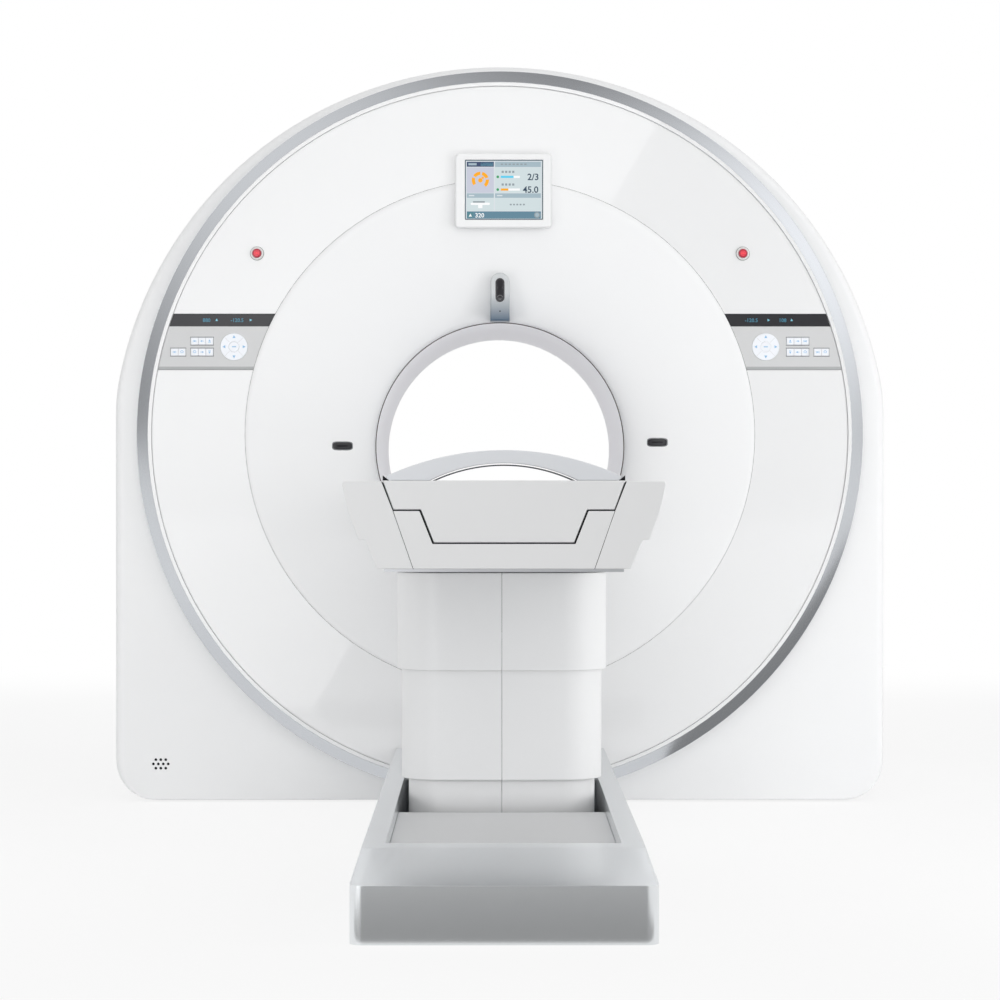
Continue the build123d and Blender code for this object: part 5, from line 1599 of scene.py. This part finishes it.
@dataclass
class StopButton:
    """One emergency stop: its red cap with a turning arrow.

    Attributes:
        side: left or right.
        face_radius: radius of the lighter face.
        shade_width: width of the grey ring of painted shadow round the collar.
    """

    side: str
    face_radius: float = 0.0072
    shade_width: float = 0.0016

    def build(self) -> None:
        """Makes the cap, its arrow and the grey ring of painted shadow round the collar."""
        node = f"{self.side}_stop_button"
        cap = dress((node,), RED, 0.0008, node, segments=3)[0]
        x, z, _ = round_of(node)
        marks = Print(f"{node}_arrow", box(node)[0].y)
        marks.add(circle(x, z, self.face_radius, 32), RED_FACE)
        radius = self.face_radius * 0.62
        for start in (20, 200):
            marks.add(arc_band(x, z, radius * 1.14, radius * 0.86, start, start + 110, 8), RED, 1)
            tip = start + 118
            place = on_circle(x, z, radius, math.radians(tip))
            marks.add(triangle(*place, radius * 0.42, tip + 90), RED, 1)
        marks.build(node, "red_button", onto=cap)
        # A grey ring round the collar, painted shadow under its edge.
        fascia_y = box("fascia_panel")[0].y + LIP_HEIGHT
        collar_low, collar_high = box("stop_collars")
        reach = (collar_high.z - collar_low.z) / 2
        outer = reach + self.shade_width
        ends = [(reach, -0.0012), (outer, -0.0002), (outer, 0.0), (reach, 0.0)]
        steps = 64
        sections = []
        for step in range(steps):
            turn = FULL_TURN * step / steps
            c, s = math.cos(turn), math.sin(turn)
            sections.append([Vector((x + r * c, fascia_y + y, z + r * s)) for r, y in ends])
        placed(to_object(f"{self.side}_stop_collar_shadow", ring_surface(sections)), COLLAR_SHADOW)


@dataclass
class PositionLasers:
    """The pod over the bore and the two side windows.

    Attributes:
        disc: the bell that the side windows lie on.
        window_width: the pod window's width.
        window_height: its height.
        bezel: width of the light rim round it.
        side_size: a side window's width and height.
    """

    disc: DiscFront
    window_width: float = 0.0254
    window_height: float = 0.0674
    bezel: float = 0.0016
    side_size: Point = (0.055, 0.0225)

    def build(self) -> None:
        """Makes the pod, its window and the side windows."""
        # The pod's finish darkens towards its foot as painted shade.
        dress(("laser_pod",), POD_PAINTED_SHADE, 0.0013, segments=3)
        self.pod_window()
        self.side_windows()

    def pod_window(self) -> None:
        """The pod's black window with its divided glass and lens."""
        low, high = box("laser_pod")
        x, z, y = 0.0, high.z - 0.049, low.y + 0.001
        width, height = self.window_width, self.window_height
        edge = oval(x, z, width, height)
        window = placed(slab("pod_window", edge, y, y + 0.0019), BLACK, replaces=["laser_windows"])
        glass = Print("pod_window_glass", y)
        glass.add(oval(x, z + height * 0.26, width * 0.66, height * 0.36), SMOKED)
        glass.add(oval(x, z - height * 0.10, width * 0.66, height * 0.42), SMOKED)
        glass.add(arc_band(x, z - height * 0.33, width * 0.34, width * 0.27, 20, 160), LENS, 1)
        glass.add(arc_band(x, z - height * 0.33, width * 0.18, width * 0.10, 200, 340), LENS, 1)
        glass.build("root", "black_glass", onto=window)
        rim = []
        near, far = low.y - 0.0002, low.y + 0.0008
        wide = oval(x, z, width + 2 * self.bezel, height + 2 * self.bezel)
        for (ox, oz), (ix, iz) in zip(wide, edge):
            top = Vector(((ox + ix) / 2, near, (oz + iz) / 2))
            rim.append([Vector((ox, far, oz)), top, Vector((ix, far, iz))])
        placed(to_object("pod_window_bezel", ring_surface(rim)), BEZEL)
        dot = Print("pod_indicator", low.y)
        dot.add(circle(x, 1.379, 0.0021, 16), DARK_PARTS_AND_GAP_SHADE)
        dot.add(circle(x, 1.379, 0.0012, 16), SMOKED, 1)
        dot.build("root", "black_glass")

    def patch(self, name: str, outline: Sequence[Point], proud: float, depth: float, finish: Finish) -> None:
        """A thin piece that follows the bell's face.

        Args:
            name: its name.
            outline: its outline seen from the front.
            proud: how far it stands out.
            depth: its thickness.
            finish: its finish.
        """
        bm = bmesh.new()
        middle_x = sum(p[0] for p in outline) / len(outline)
        middle_z = sum(p[1] for p in outline) / len(outline)
        layers = []
        steps = 4
        for back in (0.0, depth):
            rows = []
            for step in range(1, steps + 1):
                share = step / steps
                ease = proud * (1 - share**6) if not back else 0.0
                row = []
                for x, z in outline:
                    px, pz = middle_x + (x - middle_x) * share, middle_z + (z - middle_z) * share
                    row.append(bm.verts.new((px, self.disc.surface_y(px, pz) - ease + back, pz)))
                rows.append(row)
            centre_y = self.disc.surface_y(middle_x, middle_z) + (back or -proud)
            centre = bm.verts.new((middle_x, centre_y, middle_z))
            count = len(outline)
            for k in range(count):
                after = (k + 1) % count
                bm.faces.new((centre, rows[0][k], rows[0][after]))
                for step in range(steps - 1):
                    bm.faces.new((rows[step][k], rows[step + 1][k], rows[step + 1][after], rows[step][after]))
            layers.append(rows[-1])
        for k in range(len(outline)):
            after = (k + 1) % len(outline)
            bm.faces.new((layers[0][k], layers[1][k], layers[1][after], layers[0][after]))
        placed(to_object(name, bm), finish)

    def side_windows(self) -> None:
        """The two side windows, each a dark lens in a thin grey rim."""
        width, height = self.side_size
        for side, x, z in (("left", -0.443, 1.002), ("right", 0.443, 1.012)):
            rim = cushion(x, z, width + 0.003, height + 0.003)
            self.patch(f"{side}_laser_rim", rim, 0.0006, 0.003, SEAM)
            self.patch(f"{side}_laser_window", cushion(x, z, width, height), 0.0013, 0.003, BLACK)
            self.patch(f"{side}_laser_slit", cushion(x, z, width * 0.72, height * 0.3), 0.0019, 0.002, SMOKED)


@dataclass
class Controls:
    """Display, control panels, stops and position lasers."""

    disc: DiscFront

    def build(self) -> None:
        """Makes every control of the gantry's front."""
        DisplayUnit().build()
        dress(("status_bars",), BLACK, 0.0006, segments=2)
        dress(("stop_collars",), COLLAR, 0.0012, segments=3)
        for side in ("left", "right"):
            ControlPanel(side).build()
            StopButton(side).build()
        PositionLasers(self.disc).build()


# Couch


@dataclass
class CouchBase:
    """The silver base and its white plates."""

    def build(self) -> None:
        """Makes the base and its plates."""
        dress(("couch_base",), BASE_PAINT, 0.0045, segments=5)
        dress(("base_plates",), MOULDING, 0.0012, segments=2)


@dataclass
class Pedestal:
    """The three telescoping shrouds."""

    def build(self) -> None:
        """Makes the shrouds and the head plate."""
        dress(("lower_shroud",), MOULDING, 0.0015)
        dress(("mid_shroud",), MOULDING, 0.0015, "couch_mid_stage")
        dress(("upper_shroud",), MOULDING, 0.0015, "couch_top")
        # The head plate is painted near-black as the shadow under the couch top.
        dress(("lift_top_column",), HEAD_PLATE_SHADOW, 0.0012, "couch_top")


@dataclass
class CouchTop:
    """The couch top's covers and the dark strips of painted shade in their joints.

    Attributes:
        edge: rounding of the covers.
        gap: the running gap round the moving end cap.
        thin_gap: the joint between the end panel and the side covers.
        gap_shade_depth: how deep those strips lie.
        trough_top: half the trough's width at the shelf.
        trough_bottom: half its width at its floor.
        bottom_x: half the end panel's width at its lower edge.
    """

    edge: float = 0.0014
    gap: float = 0.003
    thin_gap: float = 0.0008
    gap_shade_depth: float = 0.0012
    trough_top: float = 0.1693
    trough_bottom: float = 0.1432
    bottom_x: float = 0.182

    def build(self) -> None:
        """Makes the covers and the strips of painted shade."""
        dress(("couch_end_panel", "left_couch_cover", "right_couch_cover"), MOULDING, self.edge, "couch_top")
        self.running_gap_shade()
        self.joint_gap_shade()

    def fixed_path(self) -> list[Point]:
        """The right half of the fixed panels' edge round the end cap."""
        cap_low, cap_high = box("pallet_end_cap")
        panel_high = box("couch_end_panel")[1]
        cover_high = box("right_couch_cover")[1]
        shelf_x = panel_high.x + self.thin_gap
        return [
            (cap_high.x + self.gap, cover_high.z),
            (shelf_x, panel_high.z),
            (self.trough_top, panel_high.z),
            (self.trough_bottom, cap_low.z - self.gap),
        ]

    def running_gap_shade(self) -> None:
        """Dark strip that lies back in the running gap, painted shade for the gap."""
        fixed = self.fixed_path()
        reach = self.gap * 0.7
        moves = ((-reach, 0.0), (-reach / 2, reach), (-reach, reach), (-reach, reach))
        near = [(x + dx, z + dz) for (x, z), (dx, dz) in zip(fixed, moves)]
        outer = fixed + [(-x, z) for x, z in reversed(fixed)]
        inner = near + [(-x, z) for x, z in reversed(near)]
        front = box("couch_end_panel")[0].y + self.gap_shade_depth
        made = slab("running_gap_shade", outer + list(reversed(inner)), front + 0.001, front + 0.006)
        placed(made, DARK_PARTS_AND_GAP_SHADE, "couch_top")

    def joint_gap_shade(self) -> None:
        """Dark strips in the joints beside the end panel, painted shade for the joints."""
        front = box("couch_end_panel")[0].y + self.gap_shade_depth
        low, high = box("couch_end_panel")
        width = self.thin_gap + 0.0006
        top_x = high.x + self.thin_gap / 2
        bottom_x = self.bottom_x - self.thin_gap / 2
        pieces = []
        for side in (-1, 1):
            upper, lower, half = side * top_x, side * bottom_x, width / 2
            outline = [(upper - half, high.z), (upper + half, high.z)]
            outline += [(lower + half, low.z), (lower - half, low.z)]
            pieces.append(slab("joint_part", outline, front, front + 0.004))
        placed(joined("joint_gap_shade", pieces), DARK_PARTS_AND_GAP_SHADE, "couch_top")


@dataclass
class PalletUnit:
    """The sliding pallet with its end cap, carriage and handle.

    Attributes:
        inner_half: half the width of the opening under the handle.
        inner_rise: height of that opening.
        shade_strip_thickness: thickness of the dark strip of painted shade.
        shade_strip_depth: how far back it reaches.
    """

    inner_half: float = 0.149
    inner_rise: float = 0.035
    shade_strip_thickness: float = 0.0026
    shade_strip_depth: float = 0.050

    def build(self) -> None:
        """Makes the cap, the pallet and the handle."""
        dress(("pallet_end_cap",), MOULDING, 0.0022, "couch_pallet")
        dress(("pallet", "pull_handle"), LAMINATE, 0.003, "couch_pallet")
        self.handle_underside_shade()
        self.corner_wedges()

    def handle_underside_shade(self) -> None:
        """A dark strip under the handle's arch, painted shade for its underside."""
        low = box("pull_handle")[0]
        half, rise = self.inner_half, self.inner_rise
        radius = (half**2 + rise**2) / (2 * rise)
        centre_z = low.z + rise - radius
        limit = math.asin(half / radius) * 0.985
        lower, back_y = radius - self.shade_strip_thickness, low.y + self.shade_strip_depth
        ends = ((radius, low.y + 0.0015), (lower, low.y + 0.0005), (lower, back_y), (radius, back_y))
        steps = 48
        sections = []
        for step in range(steps + 1):
            turn = -limit + 2 * limit * step / steps
            c, s = math.cos(turn), math.sin(turn)
            sections.append([Vector((r * s, y, centre_z + r * c)) for r, y in ends])
        bm = bmesh.new()
        rows = [[bm.verts.new(p) for p in section] for section in sections]
        for row, following in zip(rows, rows[1:]):
            band(bm, row, following)
        bm.faces.new(rows[0])
        bm.faces.new(list(reversed(rows[-1])))
        placed(to_object("handle_underside_shade", bm), HANDLE_UNDERSIDE_SHADE, "couch_pallet")

    def corner_wedges(self) -> None:
        """Small dark wedges at the pallet's corners, beside the handle's ends."""
        low, high = box("pull_handle")
        top_z = box("pallet_end_cap")[1].z
        pieces = []
        for side in (-1, 1):
            outer = side * (high.x + 0.007)
            outline = [(side * (high.x - 0.006), top_z), (outer, top_z), (outer, top_z + 0.010)]
            pieces.append(slab("wedge_part", outline, low.y - 0.001, low.y + 0.012))
        placed(joined("pallet_edge_stops", pieces), DARK_PARTS_AND_GAP_SHADE, "couch_pallet")


# Studio


@dataclass
class Studio:
    """Floor, light and camera.

    Attributes:
        eye: the camera's place.
        focal: the lens in millimetres on a 36 mm frame.
        pitch: how far the camera looks down, in degrees.
        yaw: how far it looks to the right, in degrees.
        floor_white: the white share of the floor near the scanner, where it keeps a shadow.
        floor_fade: distances over which that share rises to all white.
        floor_tones: the darkest and the lightest tone of the floor's matt share.
        soft_front: the surroundings' strength on matt surfaces that face the camera.
        soft_back: the same behind the scanner.
        soft_span: directions along Y between which the one turns into the other.
        side_light: how much stronger they are on the right than in the middle.
        mirror_low: the pale backdrop's strength behind the camera, as metal and gloss show it.
        mirror_span: directions along Y between which it rises to full strength.
        boxes: directions of the softboxes that metal and gloss show, with their strength.
        box_reach: the angle over which a softbox fades, in radians.
        flag_light: how light the grey cards on the floor are.
        sun_power: strength of the soft sun behind the camera.
        sun_angle: how wide that sun is, in radians.
        card_edge: the ends of the line that the card's edge draws on the fascia, in X and Z.
        card_reach: how far in front of the fascia the card stands.
        card_size: the card's width and height.
        card_power: the card's power in watts.
    """

    eye: tuple[float, float, float] = (-0.028, -8.870, 0.906)
    focal: float = 104.4
    pitch: float = 0.395
    yaw: float = 0.198
    floor_white: float = 0.82
    floor_fade: Point = (3.2, 5.5)
    floor_tones: Point = (0.90, 0.92)
    soft_front: float = 0.60
    soft_back: float = 0.36
    soft_span: Point = (-0.3, 0.5)
    side_light: float = 0.06
    mirror_low: float = 0.36
    mirror_span: Point = (-0.75, 0.3)
    boxes: tuple[tuple[float, float, float, float], ...] = (
        (0.575, -0.745, 0.348, 1.15), (-0.427, -0.745, 0.525, 0.66),
    )
    box_reach: float = 0.61
    flag_light: float = 0.32
    sun_power: float = 0.98
    sun_angle: float = 1.1
    card_edge: tuple[Point, Point] = ((-0.524, 0.263), (0.439, 1.898))
    card_reach: float = 3.4
    card_size: Point = (1.45, 3.9)
    card_power: float = 26.0

    def build(self) -> None:
        """Makes the whole studio."""
        bpy.context.scene.view_settings.view_transform = "Standard"
        self.camera()
        self.floor()
        self.world()
        self.lamps()
        self.flags()

    def camera(self) -> None:
        """The camera at the photograph's place."""
        data = bpy.data.cameras.new("camera")
        data.lens = self.focal
        data.sensor_width = 36.0
        data.clip_end = 100.0
        made = linked("camera", data)
        made.location = self.eye
        made.rotation_euler = Euler((QUARTER - math.radians(self.pitch), 0.0, -math.radians(self.yaw)))
        bpy.context.scene.camera = made

    def floor(self) -> None:
        """A wide pale floor that keeps the object's shadow."""
        bm = bmesh.new()
        bmesh.ops.create_grid(bm, x_segments=1, y_segments=1, size=60.0)
        made = to_object("floor", bm, smooth=False)
        floor = bpy.data.materials.new("floor_white")
        floor.use_nodes = True
        nodes = Nodes(floor.node_tree)
        path = nodes.add("ShaderNodeLightPath").outputs
        seen = nodes.math("MAXIMUM", path["Is Camera Ray"], path["Is Glossy Ray"])
        seen = nodes.math("MAXIMUM", seen, path["Is Transmission Ray"])
        place = nodes.add("ShaderNodeTexCoord").outputs["Object"]
        reach = nodes.add("ShaderNodeVectorMath", {0: place}, operation="LENGTH").outputs["Value"]
        fade = nodes.fade(reach, *self.floor_fade, self.floor_white, 1.0)
        low, high = [(tone, tone, tone, 1.0) for tone in self.floor_tones]
        tone = nodes.mix_colour(nodes.noise(place, 3.0), low, high)
        matt = nodes.add("ShaderNodeBsdfDiffuse", {"Color": tone}).outputs[0]
        white = nodes.add("ShaderNodeEmission", {"Color": WHITE, "Strength": 1.0}).outputs[0]
        share = nodes.math("MULTIPLY", seen, fade)
        both = nodes.add("ShaderNodeMixShader", {0: share, 1: matt, 2: white}).outputs[0]
        nodes.add("ShaderNodeOutputMaterial", {"Surface": both})
        made.data.materials.append(floor)

    def world(self) -> None:
        """Soft surrounding light, dimmer behind the camera, and a white background."""
        world = bpy.data.worlds.new("studio")
        bpy.context.scene.world = world
        world.use_nodes = True
        nodes = Nodes(world.node_tree)
        direction = nodes.add("ShaderNodeTexCoord").outputs["Generated"]
        parts = nodes.add("ShaderNodeSeparateXYZ", {"Vector": direction}).outputs
        path = nodes.add("ShaderNodeLightPath").outputs
        facing = nodes.fade(parts["Y"], *self.soft_span, self.soft_front, self.soft_back)
        soft = nodes.math("ADD", nodes.math("MULTIPLY", parts["X"], self.side_light), facing)
        mirrored = nodes.fade(parts["Y"], *self.mirror_span, self.mirror_low, 1.0)
        for x, y, z, strength in self.boxes:
            ends = {0: direction, 1: Vector((x, y, z)).normalized()}
            towards = nodes.add("ShaderNodeVectorMath", ends, operation="DOT_PRODUCT").outputs["Value"]
            glow = nodes.fade(nodes.math("ARCCOSINE", towards), 0.0, self.box_reach, strength, 0.0)
            mirrored = nodes.math("ADD", mirrored, glow)
        by_ray = nodes.add(
            "ShaderNodeMix", {"Factor": path["Is Glossy Ray"], "A": soft, "B": mirrored}, data_type="FLOAT"
        ).outputs[0]
        seen = nodes.math("MAXIMUM", path["Is Camera Ray"], path["Is Transmission Ray"])
        inputs = {"Factor": seen, "A": by_ray, "B": 1.0}
        strength = nodes.add("ShaderNodeMix", inputs, data_type="FLOAT").outputs[0]
        light = nodes.add("ShaderNodeBackground", {"Color": WHITE, "Strength": strength}).outputs[0]
        nodes.add("ShaderNodeOutputWorld", {"Surface": light})

    def lamp(
        self, name: str, place: Sequence[float], aim: Sequence[float], size: Point, power: float,
        diffuse: bool = True, glossy: bool = True,
    ) -> bpy.types.Object:
        """One soft area lamp.

        Args:
            name: its name.
            place: where it stands.
            aim: the point that it faces.
            size: its width and height.
            power: its power in watts.
            diffuse: whether it lights matt surfaces.
            glossy: whether it shows in reflections.

        Returns:
            The lamp.
        """
        data = bpy.data.lights.new(name, "AREA")
        data.shape = "RECTANGLE"
        data.size, data.size_y = size
        data.energy = power
        made = linked(name, data)
        made.location = place
        way = Vector(aim) - Vector(place)
        made.rotation_euler = way.to_track_quat("-Z", "Y").to_euler()
        made.visible_camera = False
        made.visible_diffuse = diffuse
        made.visible_glossy = glossy
        return made

    def lamps(self) -> None:
        """Overhead, side, front and rear softboxes, and the card that the glossy fascia mirrors."""
        plain = {"glossy": False}
        self.lamp("overhead", (0.0, -2.2, 5.2), (0.0, -1.2, 0.0), (5.0, 6.0), 42.0, **plain)
        self.lamp("right_box", (4.6, -3.6, 2.2), (0.0, -1.4, 0.8), (1.6, 3.6), 26.0, **plain)
        self.lamp("left_low", (-2.5, -3.0, 0.5), (-0.6, -0.7, 0.6), (1.4, 0.9), 13.0, **plain)
        self.lamp("right_low", (2.5, -3.0, 0.5), (0.6, -0.7, 0.6), (1.4, 0.9), 17.0, **plain)
        self.front_sun()
        self.lamp("rear_box", (0.0, 6.0, 1.4), (0.0, 0.0, 1.1), (2.4, 2.0), 100.0, **plain)
        self.fascia_card()

    def flags(self) -> None:
        """Grey cards on the floor, which only metal and gloss show."""
        spots = {
            "couch_flag": ((-0.62, -3.26), (0.52, -3.26), (0.62, -4.6), (-0.75, -4.6)),
            "right_flag": ((0.50, -0.80), (2.4, -0.80), (3.6, -3.4), (0.95, -1.9)),
        }
        grey = bpy.data.materials.new("flag_grey")
        grey.use_nodes = True
        nodes = Nodes(grey.node_tree)
        light = nodes.add("ShaderNodeEmission", {"Color": WHITE, "Strength": self.flag_light}).outputs[0]
        nodes.add("ShaderNodeOutputMaterial", {"Surface": light})
        for name, corners in spots.items():
            bm = bmesh.new()
            bm.faces.new([bm.verts.new((x, y, 0.0005)) for x, y in corners])
            made = to_object(name, bm, smooth=False)
            made.data.materials.append(grey)
            made.visible_camera = False
            made.visible_diffuse = False
            made.visible_shadow = False
            made.visible_transmission = False

    def front_sun(self) -> None:
        """A wide, soft sun from behind the camera, which lights near and far alike."""
        data = bpy.data.lights.new("front_sun", "SUN")
        data.energy = self.sun_power
        data.angle = self.sun_angle
        made = linked("front_sun", data)
        made.rotation_euler = Vector((-0.06, 1.0, 0.05)).to_track_quat("-Z", "Y").to_euler()
        made.visible_camera = False
        made.visible_glossy = False

    def fascia_card(self) -> None:
        """The card whose straight edge shows as a diagonal on the fascia."""
        fascia_y = box("fascia_panel")[0].y
        reach = self.card_reach
        grow = 1 + reach / (fascia_y - self.eye[1])

        def mirrored(point: Point) -> Vector:
            """Where a place on the fascia is mirrored in the card's plane."""
            x = self.eye[0] + (point[0] - self.eye[0]) * grow
            z = self.eye[2] + (point[1] - self.eye[2]) * grow
            return Vector((x, fascia_y - reach, z))

        low, high = [mirrored(end) for end in self.card_edge]
        along = (high - low).normalized()
        across = Vector((-along.z, 0.0, along.x))
        centre = (high + low) / 2 + across * (self.card_size[0] / 2)
        aim = centre + Vector((0, 1, 0))
        made = self.lamp("fascia_card", centre, aim, self.card_size, self.card_power, diffuse=False)
        made.rotation_euler = Matrix((-across, along, Vector((0, -1, 0)))).transposed().to_euler()


def main() -> None:
    """Builds the scanner's looks and the studio."""
    logging.basicConfig(level=logging.INFO, format="%(name)s: %(message)s")
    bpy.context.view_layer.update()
    disc = DiscFront()
    Shell().build()
    disc.build()
    Bore().build()
    Inside().build()
    Controls(disc).build()
    CouchBase().build()
    Pedestal().build()
    CouchTop().build()
    PalletUnit().build()
    Studio().build()


if __name__ == "__main__":
    main()
